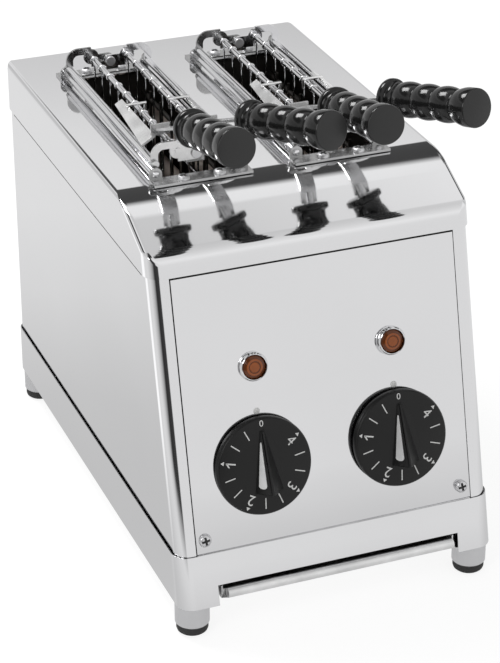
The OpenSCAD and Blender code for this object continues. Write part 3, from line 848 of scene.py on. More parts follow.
class TOASTER_OT_cover(bpy.types.Operator):
    """Top cover with its bent front, rounded edges and slot openings"""
    bl_idname = "toaster.cover"
    bl_label = "Top cover"

    def execute(self, context):
        casing = settings()[0]
        lip_z = COVER_LOW.z + casing.lip
        lip_y = front_y(lip_z)
        flat_y = lip_y + (TOP_Z - lip_z) / math.tan(casing.facet)
        tangent = casing.top_bend * math.tan(casing.facet / 2)
        back = COVER_HIGH.y
        bm = bmesh.new()
        layer = bm.edges.layers.float.new("bevel_weight_edge")
        low = COVER_LOW.z
        profile = [(front_y(low), low), (lip_y, lip_z), (flat_y, TOP_Z), (back, TOP_Z), (back, low)]
        left, right = ([bm.verts.new((x, y, z)) for y, z in profile] for x in (-HALF_WIDTH, HALF_WIDTH))
        for k in range(len(profile) - 1):
            bm.faces.new([left[k], right[k], right[k + 1], left[k + 1]])
        bm.faces.new(left)
        bm.faces.new(right)
        lip_bend = casing.lip_bend * math.tan((math.pi / 2 - LEAN - casing.facet) / 2)
        for edge in bm.edges:
            if len(edge.link_faces) < 2:
                continue
            ends = {(round(v.co.y, 5), round(v.co.z, 5)) for v in edge.verts}
            depths = [y for y, z in ends]
            reach = casing.edge
            if len(ends) == 1:
                y, z = ends.pop()
                if abs(y - flat_y) < MM:
                    reach = tangent
                elif z < TOP_Z - MM:
                    reach = lip_bend
            elif upright(edge) and (max(depths) < lip_y + MM or min(depths) > back - MM):
                reach = casing.corner
            edge[layer] = reach / tangent
        piece = add_object("top_cover_skin", mesh_from("top_cover_skin", bm))
        add_bends(piece, tangent).use_clamp_overlap = False
        settle(piece)
        add_wall(piece, casing.sheet)
        settle(piece)
        half, end, deep = 24.5 * MM, 4 * MM, 10 * MM
        for tong in TONGS:
            rail_low, rail_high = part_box(f"slot_rails_{'left' if tong == 'tong1' else 'right'}")
            cut(piece,
                (slot_x(tong) - half, rail_low[1] + end, TOP_Z - deep),
                (slot_x(tong) + half, rail_high[1] - end, TOP_Z + deep))
        even_normals(piece)
        dress(piece, "casing", "polished_steel", [polished_sheet("x")], "top_cover")
        return {"FINISHED"}


class TOASTER_OT_base(bpy.types.Operator):
    """Base skirt with its tray notch and floor flanges"""
    bl_idname = "toaster.base"
    bl_label = "Base frame"

    def execute(self, context):
        casing = settings()[0]
        back = BASE_HIGH.y
        rings = []
        for z in (BASE_LOW.z, BASE_HIGH.z):
            front = front_y(z)
            plan = [(-HALF_WIDTH, front), (HALF_WIDTH, front), (HALF_WIDTH, back), (-HALF_WIDTH, back)]
            rings.append([Vector((x, y, z)) for x, y in plan])
        bm = bmesh.new()
        layer = bm.edges.layers.float.new("bevel_weight_edge")
        low, high = ([bm.verts.new(point) for point in ring] for ring in rings)
        for k in range(4):
            bm.faces.new([low[k], low[(k + 1) % 4], high[(k + 1) % 4], high[k]])
        for edge in bm.edges:
            edge[layer] = 1.0 if upright(edge) else 0.0
        piece = add_object("base_skin", mesh_from("base_skin", bm))
        add_bends(piece, casing.corner)
        add_wall(piece, 0.5 * casing.sheet)
        settle(piece)
        notch, notch_height, notch_end, clear = 78.3 * MM, 12.3 * MM, -130 * MM, 20 * MM
        cut(piece,
            (-notch, BASE_LOW.y - clear, BASE_LOW.z - clear),
            (notch, notch_end, BASE_LOW.z + notch_height))
        piece = softened(piece, 0.15 * MM, math.radians(50))
        rear = back - 2 * casing.sheet
        floor_low, floor_high = BASE_LOW.z, BASE_LOW.z + casing.sheet
        # Floor flanges: middle, half width, front end, back end
        long_flange = (85 * MM, 15 * MM, -128 * MM, rear)
        short_flange = (88 * MM, 10 * MM, -163 * MM, -126 * MM)
        flanges = [(side * middle, *others) for middle, *others in (long_flange, short_flange)
                   for side in SIDES.values()]
        flanges.append((0, HALF_WIDTH - 1.5 * casing.sheet - 2 * MM, 140 * MM, rear))
        strips = [
            box_mesh("strip", (middle - half, near, floor_low), (middle + half, far, floor_high), 0.3 * MM)
            for middle, half, near, far in flanges]
        floor = add_object("base_floor_flanges", joined("base_floor_flanges", strips))
        dress(piece, "casing", "polished_steel", [polished_sheet("x")], "base_frame")
        dress(floor, "casing", "bright_sheet", [bright_sheet(0.8)])
        return {"FINISHED"}


class TOASTER_OT_sides(bpy.types.Operator):
    """Side sheets that wrap round the front and back corners"""
    bl_idname = "toaster.sides"
    bl_label = "Side panels"

    def execute(self, context):
        casing = settings()[0]
        outer = -SIDE_LOW.x
        radius = casing.corner - SHEET_INSET
        back = SIDE_HIGH.y
        steps = 14
        turns = [math.pi / 2 * k / steps for k in range(steps + 1)]
        arc = [(radius * math.sin(a), radius * math.cos(a)) for a in turns]
        for name, side in SIDES.items():
            bm = bmesh.new()
            rows = []
            for z in (SIDE_LOW.z, SIDE_HIGH.z):
                front = sheet_y(z)
                plan = [(casing.panel_half + casing.seam / 2, front)]
                plan += [(outer - radius + across, front + radius - along) for across, along in arc]
                plan += [(outer - radius + across, back - radius + along) for along, across in arc]
                plan.append((casing.panel_half + casing.seam / 2, back))
                rows.append([bm.verts.new((side * x, y, z)) for x, y in plan])
            for k in range(len(rows[0]) - 1):
                corners = [rows[0][k], rows[0][k + 1], rows[1][k + 1], rows[1][k]]
                bm.faces.new(corners if side > 0 else corners[::-1])
            mesh = bpy.data.meshes.new(f"side_sheet_{name}")
            bm.to_mesh(mesh)
            bm.free()
            mesh.shade_smooth()
            piece = add_object(f"side_sheet_{name}", mesh)
            add_wall(piece, casing.sheet)
            settle(piece)
            even_normals(piece)
            dress(piece, "casing", "polished_steel", [polished_sheet("z")], f"side_panel_{name}")
        return {"FINISHED"}


class TOASTER_OT_front(bpy.types.Operator):
    """Leaning front panel with its ledge, black strips of painted shade in the cover's seam and the mark above
    each knob
    """
    bl_idname = "toaster.front"
    bl_label = "Front panel"

    def execute(self, context):
        casing = settings()[0]
        lip_gap = 1.7 * MM
        length = (COVER_LOW.z - PANEL_LOW.z) / math.cos(LEAN) - lip_gap
        half = casing.panel_half - casing.seam / 2
        place = Matrix.Translation((0, PANEL_LOW.y, PANEL_LOW.z)) @ PANEL_TURN
        self.add_sheet(casing.sheet, half, length, place)
        self.add_strips(casing.sheet, half, length, place)
        self.add_marks()
        return {"FINISHED"}

    def add_sheet(self, thickness, half, length, place):
        """Panel sheet, with a wider seam on the left than on the right, and the bright ledge at its foot."""
        left_gap, right_gap = 0.15 * MM, -0.2 * MM
        sheet = box_mesh("sheet", (left_gap - half, 0, -thickness), (half - right_gap, length, 0), 0.3 * MM)
        foot = (SEAM_Z - PANEL_LOW.z) / math.cos(LEAN)
        ledge_low, ledge_high, proud = foot - 3 * MM, foot - 0.4 * MM, 0.68 * MM
        ledge = box_mesh("ledge", (-half, ledge_low, 0), (half, ledge_high, proud), 0.1 * MM)
        ledge.polygons.foreach_set("material_index", [1] * len(ledge.polygons))
        for mesh in (sheet, ledge):
            mesh.transform(place)
        panel = add_object("front_sheet", joined("front_sheet", [sheet, ledge]))
        dress(panel, "casing", "polished_steel", [polished_sheet("z"), bright_sheet(0.8)], "front_panel")

    def add_strips(self, thickness, half, length, place):
        """Black strips in the seam under the cover, on the front and both sides: painted shade for the gap
        under the cover's lip.
        """
        below, above, deep, shallow = 5 * MM, 3 * MM, -2.5 * thickness, -1.1 * thickness
        front = box_mesh("strip", (-half, length - below, deep), (half, length + above, shallow), 0.2 * MM)
        front.transform(place)
        strips = [front]
        faces, end, hang, tuck = (0.08 * MM, -0.6 * MM), 13 * MM, 2.6 * MM, 0.3 * MM
        for side in SIDES.values():
            low_x, high_x = sorted(side * (-SIDE_LOW.x + proud) for proud in faces)
            strips.append(box_mesh(
                "strip", (low_x, front_y(SIDE_HIGH.z) + end, COVER_LOW.z - hang),
                (high_x, SIDE_HIGH.y - end, COVER_LOW.z + tuck), 0.05 * MM))
        piece = add_object("seam_strips", joined("seam_strips", strips))
        dress(piece, "casing", "black_rubber", [black_rubber()])

    def add_marks(self):
        """Small domed mark above each knob."""
        dome = in_mm((0, 0.55), (1.2, 0.5), (1.9, 0.25), (2.1, -0.2))
        above = Matrix.Translation((0, 32.6 * MM, 0))
        marks = []
        for name in SIDES:
            dot = mesh_from("dot", lathe(dome, 24))
            dot.transform(panel_place(f"timer_turn_{name}") @ above)
            marks.append(dot)
        piece = add_object("knob_marks", joined("knob_marks", marks))
        dress(piece, "casing", "pointer_grey", [scale_print()])


def screw_mesh(radius):
    """Pan-head screw with a cross recess, head up from z = 0."""
    height = 0.62 * radius
    shares = ((1, 0), (1, 0.3), (0.85, 0.72), (0.55, 0.97), (0, 1))
    dome = [(across * radius, up * height) for across, up in shares]
    piece = add_object("screw", mesh_from("screw", lathe(dome, 28), math.radians(50)))
    bm = bmesh.new()
    bm.from_mesh(piece.data)
    bmesh.ops.holes_fill(bm, edges=bm.edges)
    bm.to_mesh(piece.data)
    bm.free()
    reach, slit = cross_size(radius)
    cut(piece, (-reach, -slit, 0.1 * height), (reach, slit, 2 * height))
    cut(piece, (-slit, -reach, 0.1 * height), (slit, reach, 2 * height))
    mesh = piece.data.copy()
    bpy.data.objects.remove(piece)
    mesh.shade_smooth()
    mesh.set_sharp_from_angle(angle=math.radians(40))
    return mesh


def cross_size(radius):
    """Reach and half width of a cross recess."""
    return 0.66 * radius, 0.19 * radius


def cross_mesh(radius):
    """Black floor of a screw's cross recess: painted shade."""
    reach, slit = (value / MM for value in cross_size(radius))
    quarter = [(slit, slit), (slit, reach), (-slit, reach)]
    corners = []
    for _ in range(4):
        corners += quarter
        quarter = [(-y, x) for x, y in quarter]
    return mesh_from("cross", flat_shape(corners, 0.06 * radius, 0.42 * radius))


class TOASTER_OT_screws(bpy.types.Operator):
    """Panel screws and bracket screws"""
    bl_idname = "toaster.screws"
    bl_label = "Screws"

    def execute(self, context):
        head, lift = 3.9 * MM, 0.6 * MM
        panel_turn, bracket_turn = math.radians(8), math.radians(25)
        low, high = vectors(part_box("panel_screws"))
        middle_z = (low.z + high.z) / 2 + lift
        start = Vector((low.x + head, sheet_y(middle_z), middle_z))
        turn = PANEL_TURN @ Matrix.Rotation(panel_turn, 4, "Z")
        self.place_screws("panel_screws", head, turn, [(start, Vector((high.x - low.x - 2 * head, 0, 0)))])
        low, high = vectors(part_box("bracket_screws"))
        half, bracket = 11.5 * MM, 1.5 * MM
        rows = [(Vector((slot_x(tong) - half, y, TOP_Z + bracket)), Vector((2 * half, 0, 0)))
                for tong in TONGS for y in (low.y + head, high.y - head)]
        self.place_screws("bracket_screws", head, Matrix.Rotation(bracket_turn, 4, "Z"), rows)
        return {"FINISHED"}

    def place_screws(self, node, head, turn, rows):
        """Rows of two screws, each from a start and a step, with painted shade in their cross recesses."""
        finishes = [turned_steel(), black_rubber()]
        meshes = []
        for start, step in rows:
            for index, source in enumerate((screw_mesh(head), cross_mesh(head))):
                source.transform(turn)
                mesh = copies(f"{node}_row", row_tree, source, 2, finishes[index], Start=start, Step=step)
                for polygon in mesh.polygons:
                    polygon.material_index = index
                meshes.append(mesh)
        piece = add_object(f"{node}_heads", joined(f"{node}_heads", meshes, math.radians(40)))
        dress(piece, "casing", "screw_steel", finishes, node)


class TOASTER_OT_feet(bpy.types.Operator):
    """Turned foot sleeves and rubber pads"""
    bl_idname = "toaster.feet"
    bl_label = "Feet"

    def execute(self, context):
        low, high = vectors(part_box("foot_sleeves"))
        radius = 10.5 * MM
        top = BASE_LOW.z
        split = low.z
        pad_r = radius - 0.8 * MM
        sleeve = [(0, top - 0.1 * MM), (radius - 0.5 * MM, top - 0.1 * MM), (radius, top - 0.6 * MM),
                  (radius, split + 0.8 * MM), (pad_r, split), (0, split)]
        tread = in_mm((0, 2.4), (0.5, 1.1), (1.4, 0.3), (2.4, 0))
        pad = [(0, split), (pad_r, split), *((pad_r - inside, up) for inside, up in tread), (0, 0)]
        step = Vector((high.x - low.x - 2 * radius, 0, 0))
        for name, outline, finish, slot, node in (
                ("foot_sleeve_set", sleeve, turned_steel(), "turned_steel", "foot_sleeves"),
                ("foot_pad_set", pad, black_rubber(), "black_rubber", "foot_pads")):
            rows = []
            for y in (low.y + radius, high.y - radius):
                source = mesh_from(name, lathe(outline[::-1], 40), math.radians(40))
                start = Vector((low.x + radius, y, 0))
                rows.append(copies(name, row_tree, source, 2, finish, Start=start, Step=step))
            dress(add_object(name, joined(name, rows)), "casing", slot, [finish], node)
        return {"FINISHED"}


class TOASTER_OT_tray(bpy.types.Operator):
    """Crumb tray with its rolled lip"""
    bl_idname = "toaster.tray"
    bl_label = "Crumb tray"

    def execute(self, context):
        piece = node_copy("crumb_tray_sheet", "crumb_tray", 0.25 * MM)
        # The lip is drawn a little narrower, further in and higher
        lip_depth, narrower, inward, higher = 9.5 * MM, 0.03, 3 * MM, 3.4 * MM
        lip_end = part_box("crumb_tray")[0][1] + lip_depth
        for vertex in piece.data.vertices:
            if vertex.co.y < lip_end:
                vertex.co += Vector((-narrower * vertex.co.x, inward, higher))
        dress(piece, "crumb_tray", "bright_sheet", [bright_sheet(0.9, 0.2)], "crumb_tray")
        return {"FINISHED"}


class TOASTER_OT_lamps(bpy.types.Operator):
    """Chrome lamp bezels and amber lenses"""
    bl_idname = "toaster.lamps"
    bl_label = "Lamps"

    def execute(self, context):
        rise = settings()[1].lamp_rise
        ring = in_mm((7.2, -2), (8.7, 0), (9, 0.4), (9, 1.9), (8.6, 2.9), (8.1, 3.6), (7.8, 3.8), (7.5, 3.6),
                     (7.3, 1))
        dome = in_mm((0, 4.3), (2.9, 4.2), (3.1, 3.9), (3.5, 3.9), (3.8, 4.1), (5.0, 3.9), (5.3, 3.5),
                     (6.4, 3.2), (7.1, 2.4), (7.2, 1))
        groove, rim = (3.0 * MM, 3.7 * MM), 5.1 * MM
        for name in SIDES:
            place = panel_place(f"timer_turn_{name}") @ Matrix.Translation((0, rise, 0))
            for label, outline, finishes, slot, node in (
                    ("lamp_ring", ring, [polished_sheet("x")], "lamp_chrome", "lamp_bezel"),
                    ("lamp_dome", dome, [amber_lens(0.0), amber_lens(0.6)], "amber_lens", "lamp_lens")):
                mesh = mesh_from(label, lathe(outline[::-1], 40), math.radians(45))
                for polygon in mesh.polygons:
                    off = polygon.center.xy.length
                    # The groove and the slope beside the bezel take the darker lens: painted shade.
                    shaded = off > rim or groove[0] < off < groove[1]
                    polygon.material_index = int(len(finishes) > 1 and shaded)
                mesh.transform(place)
                piece = add_object(f"{label}_{name}", mesh)
                dress(piece, "casing", slot, finishes, f"{node}_{name}")
        return {"FINISHED"}


def grip_fin(face, grip):
    """Bmesh of a grip's fin, which falls from a high tail to a narrow tip between leaning flanks."""
    bm = bmesh.new()
    foot = [(x, y, face) for y, left, right, top, rise in grip for x in (-left, right)]
    crown = [(x, y, face + rise) for y, left, right, top, rise in grip for x in (-top, top)]
    tail_low, tip_low, tail_high, tip_high = (
        [bm.verts.new(point) for point in pair] for pair in (foot[:2], foot[2:], crown[:2], crown[2:]))
    for low, high in ((tail_low, tip_low), (tail_high, tip_high), (tail_low, tail_high), (tip_low, tip_high)):
        bm.faces.new([*low, *high[::-1]])
    for side in (0, 1):
        bm.faces.new([tail_low[side], tip_low[side], tip_high[side], tail_high[side]])
    return soft_edges(bm, 0.35 * MM, 3)


def digit_mesh(text, size, height):
    """Mesh of a plain digit, centred, that stands a height out of z = 0."""
    curve = bpy.data.curves.new("digit", "FONT")
    curve.body = text
    curve.size = size
    curve.align_x = "CENTER"
    curve.align_y = "CENTER"
    curve.extrude = height
    piece = add_object("digit", curve)
    mesh = evaluated_mesh(piece)
    bpy.data.objects.remove(piece)
    return mesh


class TOASTER_OT_knobs(bpy.types.Operator):
    """Timer knobs with their grips, pointers and printed scales"""
    bl_idname = "toaster.knobs"
    bl_label = "Timer knobs"

    FACE = 6.2 * MM
    # Ends of the grip: place, foot to the left, foot to the right, half width at the top, height
    TAIL = (-15.5 * MM, 7.5 * MM, 10.6 * MM, 0.79 * MM, 10.2 * MM)
    TIP = (22 * MM, 1.5 * MM, 1.5 * MM, 0.62 * MM, 1.34 * MM)
    # Degrees of the digits round the knob, against the clock from the top
    DIGIT_ANGLES = (0, 75.5, 151, 226, 306)

    def execute(self, context):
        controls = settings()[1]
        for name in SIDES:
            body = f"timer_knob_{name}"
            place = panel_place(f"timer_turn_{name}")
            mesh = self.moulding_mesh(body, controls.knob_radius)
            mesh.transform(place)
            piece = add_object(f"knob_moulding_{name}", mesh)
            dress(piece, body, "knob_black", [moulded_knob()], f"knob_{name}")
            piece = self.add_inlay(f"pointer_inlay_{name}", place)
            dress(piece, body, "pointer_grey", [bright_inlay()], f"knob_pointer_{name}")
            mesh = joined(f"scale_{name}", self.scale_meshes(controls.digit_size))
            mesh.transform(place)
            piece = add_object(f"scale_print_{name}", mesh)
            dress(piece, body, "pointer_grey", [scale_print()])
        return {"FINISHED"}

    def moulding_mesh(self, name, rim):
        """Disc that carries a plinth and a fin."""
        edge = in_mm((0.5, 1.5), (0, 2.0), (0, 3.8), (0.35, 4.9), (1.0, 5.8))
        disc = [(0, edge[0][1]), *((rim - inside, up) for inside, up in edge),
                (rim - 1.6 * MM, self.FACE), (0, self.FACE)]
        plinth = [(1.5, 23), (4.6, 18), (7, 13), (8.6, 7), (9.5, 2), (10.5, -5), (11, -11), (10.6, -14.2),
                  (9.5, -16.5), (-7.2, -16.5), (-7.4, -15.6), (-1.5, 22)]
        sunk, proud = 0.3 * MM, 0.4 * MM
        foot = soft_edges(flat_shape(plinth, self.FACE - sunk, self.FACE + proud), 0.2 * MM)
        parts = [mesh_from("disc", lathe(disc, 96), math.radians(30)), mesh_from("plinth", foot),
                 mesh_from("fin", grip_fin(self.FACE, (self.TAIL, self.TIP)))]
        return joined(name, parts, math.radians(38))

    def add_inlay(self, name, place):
        """Drop-shaped inlay in the grip's left flank."""
        drop = [(4, 2.3), (29.5, 1.1), (30.2, 1.3), (30.4, 1.6), (29.9, 2.1), (5, 8.2), (4.0, 7.9),
                (3.2, 7.1), (2.8, 5.8), (2.8, 4.2), (3.2, 2.9)]
        sunk, proud = 0.3 * MM, 0.6 * MM
        lean = math.radians(33)
        taper = math.atan2(self.TAIL[1] - self.TIP[1], self.TIP[0] - self.TAIL[0])
        flank = (Matrix.Translation((0, self.TAIL[0], self.FACE)) @ Matrix.Rotation(-taper, 4, "Z")
                 @ Matrix.Translation((-self.TAIL[1], 0, 0)) @ Matrix.Rotation(lean, 4, "Y")
                 @ Matrix(((0, 0, 1, 0), (1, 0, 0, 0), (0, 1, 0, 0), (0, 0, 0, 1))))
        inlay = add_object(name, mesh_from("inlay", flat_shape(drop, -sunk, proud)))
        softened(inlay, 0.15 * MM)
        inlay.data.transform(place @ flank)
        return inlay

    def scale_meshes(self, digit_size):
        """Printed ticks, digits, an arrow beyond each digit from 1 on, and the flag of the 1."""
        sunk, raised = 0.02 * MM, 0.06 * MM
        tick, arrow, flag = (
            mesh_from("print", flat_shape(points, self.FACE - sunk, self.FACE + raised)) for points in (
                [(-0.33, 19.3), (0.33, 19.3), (0.33, 25.9), (-0.33, 25.9)],
                [(-1.3, 26.2), (1.3, 26.2), (0, 28.2)],
                [(0.33, 24.7), (-0.33, 24.7), (-2.3, 22.9), (-2.3, 22.0), (0.33, 23.8)]))
        scale = []
        for first, last in zip(self.DIGIT_ANGLES, self.DIGIT_ANGLES[1:]):
            third = math.radians(last - first) / 3
            scale.append(copies("ticks", ring_tree, tick.copy(), 2, scale_print(),
                                First=math.radians(first) + third, Turn=third))
        for value, angle in enumerate(self.DIGIT_ANGLES):
            turn = Matrix.Rotation(math.radians(angle), 4, "Z")
            share, out = (1, 21.4 * MM) if value else (0.6, 26.3 * MM)
            digit = digit_mesh(str(value), digit_size * share, raised)
            digit.transform(turn @ Matrix.Translation((0, out, self.FACE)))
            scale.append(digit)
            for mark, needed in ((arrow, value > 0), (flag, value == 1)):
                if needed:
                    scale.append(mark.copy())
                    scale[-1].transform(turn)
        return scale


# Slots and tongs

class TOASTER_OT_slots(bpy.types.Operator):
    """Slot brackets and rails"""
    bl_idname = "toaster.slots"
    bl_label = "Slot frames"

    def execute(self, context):
        for side in SIDES:
            piece = node_copy(f"slot_bracket_pair_{side}", f"slot_brackets_{side}", 0.4 * MM)
            dress(piece, "casing", "bright_sheet", [bright_sheet(0.6)], f"slot_brackets_{side}")
            low, high = vectors(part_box(f"slot_rails_{side}"))
            radius = (high.z - low.z) / 2
            z = (low.z + high.z) / 2
            rods = [rod("rail", Vector((x, low.y, z)), Vector((x, high.y, z)), radius, 24)
                    for x in (low.x + radius, high.x - radius)]
            name = f"slot_rail_pair_{side}"
            piece = add_object(name, joined(name, rods, math.radians(50)))
            dress(piece, "casing", "bright_wire", [bright_wire()], f"slot_rails_{side}")
        return {"FINISHED"}


def cage_wire(wire, rod_x, rod_z, rod_r, low_z, inward):
    """Bmesh of one cage wire: an eye round the rod, a straight drop and a toe that bends inward."""
    loop, pitch = rod_r + 0.5 * wire, 1.4 * wire
    neck, bend, toe = 4 * MM, 3 * MM, 7 * MM
    loop_steps, bend_steps = 14, 5
    path = [
        Vector((rod_x + loop * math.sin(a), pitch * (a / (2 * math.pi) - 0.5), rod_z - loop * math.cos(a)))
        for a in (2 * math.pi * k / loop_steps for k in range(loop_steps + 1))]
    path += [Vector((rod_x, 0, z)) for z in (rod_z - loop - neck, low_z + bend)]
    path += [Vector((rod_x + inward * bend * (1 - math.cos(a)), 0, low_z + bend - bend * math.sin(a)))
             for a in (math.pi / 2 * k / bend_steps for k in range(1, bend_steps + 1))]
    path.append(Vector((rod_x + inward * toe, 0, low_z)))
    return tube(path, wire, 8)


class TOASTER_OT_tongs(bpy.types.Operator):
    """Tong frames, wire cages, strip arms and hinge plates"""
    bl_idname = "toaster.tongs"
    bl_label = "Tongs"

    # A cage's rod in the frame: radius, distance from the slot's middle, depth under the cage's top
    CAD_ROD, ROD_OFF, ROD_UNDER = 2.5 * MM, 11.5 * MM, 1.9 * MM

    def execute(self, context):
        tongs = settings()[2]
        plate = 6 * MM
        for tong in TONGS:
            piece = node_copy(f"{tong}_hinge_sheet", f"{tong}_hinge_plates", 0.3 * MM)
            dress(piece, f"{tong}_carrier", "bright_sheet", [bright_sheet(0.5)], f"{tong}_hinge_plates")
            piece = node_copy(f"{tong}_rivets", f"{tong}_pivot_pins", 0.35 * MM)
            dress(piece, f"{tong}_carrier", "screw_steel", [turned_steel()], f"{tong}_pivot_pins")
            for side, way in SIDES.items():
                body = f"{tong}_{side}_half"
                piece = node_copy(f"{tong}_{side}_rod_frame", f"{tong}_{side}_frame", 0.3 * MM)
                self.slim_rod(piece, tongs.rod, *self.rod_axis(tong, side, way))
                front, back = (corner[1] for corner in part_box(f"{tong}_{side}_frame"))
                # The back end plates take a darker copy of the sheet: painted dark reflection.
                for polygon in piece.data.polygons:
                    y = polygon.center.y
                    polygon.material_index = 2 if y < front + plate else int(y > back - plate)
                finishes = [bright_wire(), bright_sheet(0.45), bright_sheet(0.8)]
                dress(piece, body, "bright_wire", finishes, f"{tong}_{side}_frame")
                piece = node_copy(f"{tong}_{side}_strip", f"{tong}_{side}_arm", 0.3 * MM)
                self.taper_strip(piece, way)
                # The leaning strip takes the lighter sheet: painted highlight.
                finishes = [bright_sheet(0.65), bright_sheet(0.95)]
                dress(piece, body, "bright_sheet", finishes, f"{tong}_{side}_arm")
                self.build_cage(tongs, tong, side, way, body)
        return {"FINISHED"}

    def rod_axis(self, tong, side, way):
        """Place across and height of the rod that carries a cage."""
        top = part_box(f"{tong}_{side}_cage")[1][2]
        return slot_x(tong) + way * self.ROD_OFF, top - self.CAD_ROD - self.ROD_UNDER

    def slim_rod(self, piece, radius, axis_x, axis_z):
        """Draws the rod of a frame thinner, as drawn wire, between its end plates."""
        for vertex in piece.data.vertices:
            off = Vector((vertex.co.x - axis_x, 0, vertex.co.z - axis_z))
            if 0 < off.length < self.CAD_ROD + 0.35 * MM:
                vertex.co -= off.normalized() * (self.CAD_ROD - radius)

    def taper_strip(self, piece, way):
        """Narrows the far end of an arm's leaning strip on its outer side, and marks the strip's faces for the
        lighter sheet, a painted highlight.
        """
        strip_length, end_depth, end_half, taper, lean = 59 * MM, 0.5 * MM, 3 * MM, 4.5 * MM, math.radians(32)
        far = max(vertex.co.y for vertex in piece.data.vertices)
        ends = [vertex for vertex in piece.data.vertices if vertex.co.y > far - end_depth]
        outer = max(way * vertex.co.x for vertex in ends)
        for vertex in ends:
            if way * vertex.co.x > outer - end_half:
                vertex.co += taper * Vector((-way * math.cos(lean), 0, math.sin(lean)))
        for polygon in piece.data.polygons:
            polygon.material_index = int(polygon.center.y > far - strip_length)

    def build_cage(self, tongs, tong, side, way, body):
        """Row of upright wires with three long wires behind them."""
        node = f"{tong}_{side}_cage"
        low, high = vectors(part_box(node))
        rod_x, rod_z = self.rod_axis(tong, side, way)
        toe_z = low.z + tongs.wire
        wire_mesh = mesh_from("wire", cage_wire(tongs.wire, rod_x, rod_z, tongs.rod, toe_z, -way))
        first = low.y + 4 * MM
        parts = [copies("wires", row_tree, wire_mesh, tongs.wires, bright_wire(), Start=Vector((0, first, 0)),
                        Step=Vector((0, tongs.wire_pitch, 0)))]
        long_wire = 0.8 * tongs.wire
        behind = rod_x + way * 1.75 * tongs.wire
        # Long wires, as shares of the way down from the rod
        for share in (0.3, 0.65, 0.945):
            z = rod_z - share * (rod_z - low.z)
            start, end = (Vector((behind, y, z)) for y in (low.y, high.y))
            parts.append(rod("long_wire", start, end, long_wire, 10))
        piece = add_object(f"{node}_wires", joined(f"{node}_wires", parts, math.radians(60)))
        dress(piece, body, "bright_wire", [bright_wire()], node)


def handle_profile(length):
    """Outline of a handle: collar, neck, bulges, flare and flat end."""
    neck, end, first, pitch, swell, bulges, steps = 8.8, 11.4, 10, 16, 1.9, 3, 15
    last = length / MM
    outline = [(3.6, 0.2), (10.3, 0), (11.05, 0.3), (end, 1.1), (end, 3.2), (11.0, 4.0), (10.0, 4.4),
               (neck + 0.2, 5.4), (neck, 7.5), (neck, 9.6)]
    for bulge in range(bulges):
        for k in range(1, steps + 1):
            part = k / steps
            swollen = swell * math.sin(math.pi * part) ** 0.75 if k < steps else 0
            outline.append((neck + swollen, first + pitch * (bulge + part)))
    flare = first + bulges * pitch
    outline += [(neck + 0.6, flare + 1.6), (neck + 1.5, flare + 3.6), (end - 0.5, flare + 6),
                (end, flare + 8.4), (end, last - 1.1), (end - 0.3, last - 0.35), (end - 0.9, last), (0, last)]
    return in_mm(*outline)


class TOASTER_OT_handles(bpy.types.Operator):
    """Ribbed black handles"""
    bl_idname = "toaster.handles"
    bl_label = "Handles"

    def execute(self, context):
        tongs = settings()[2]
        front, rise = -82 * MM, 43 * MM
        for tong in TONGS:
            for side, offset, turn in (("left", -14.4 * MM, 0), ("right", 21 * MM, tongs.handle_turn)):
                mesh = mesh_from("handle", lathe(handle_profile(tongs.handle_length), 64), math.radians(40))
                for polygon in mesh.polygons:
                    polygon.material_index = int(polygon.center.z > tongs.handle_length - 0.2 * MM)
                base = Vector((slot_x(tong) + offset, front, TOP_Z + rise))
                mesh.transform(Matrix.Translation(base) @ Matrix.Rotation(turn, 4, "Z")
                               @ Matrix.Rotation(math.pi / 2 - tongs.handle_rise, 4, "X"))
                piece = add_object(f"{tong}_{side}_grip", mesh)
                dress(piece, f"{tong}_{side}_half", "handle_black", [gloss_handle(), satin_end()],
                      f"{tong}_{side}_handle")
        return {"FINISHED"}


class TOASTER_OT_inside(bpy.types.Operator):
    """Finish of the chamber, the heaters and what sits behind the panels"""
    bl_idname = "toaster.inside"
    bl_label = "Inside"

    FINISHES = {
        scorched_steel: (
            "chamber_wall_front", "chamber_wall_back", "reflectors", "wire_guards_left", "wire_guards_right"),
        milky_quartz: ("heater_tubes_left", "heater_tubes_right"),
        fired_ceramic: ("heater_caps_left", "heater_caps_right", "terminal_block"),
        turned_steel: ("timer_shaft_left", "timer_shaft_right"),
    }

    def execute(self, context):
        finishes = {node: maker() for maker, nodes in self.FINISHES.items() for node in nodes}
        finishes |= {"timer_left": plain_plastic(0.2), "timer_right": plain_plastic(0.2),
                     "cable_gland": plain_plastic(0.02), "rear_panel": polished_sheet("z")}
        for node, finish in finishes.items():
            carried = frame["nodes"][node]
            carried.data.materials.clear()
            carried.data.materials.append(finish)
        return {"FINISHED"}


# Studio

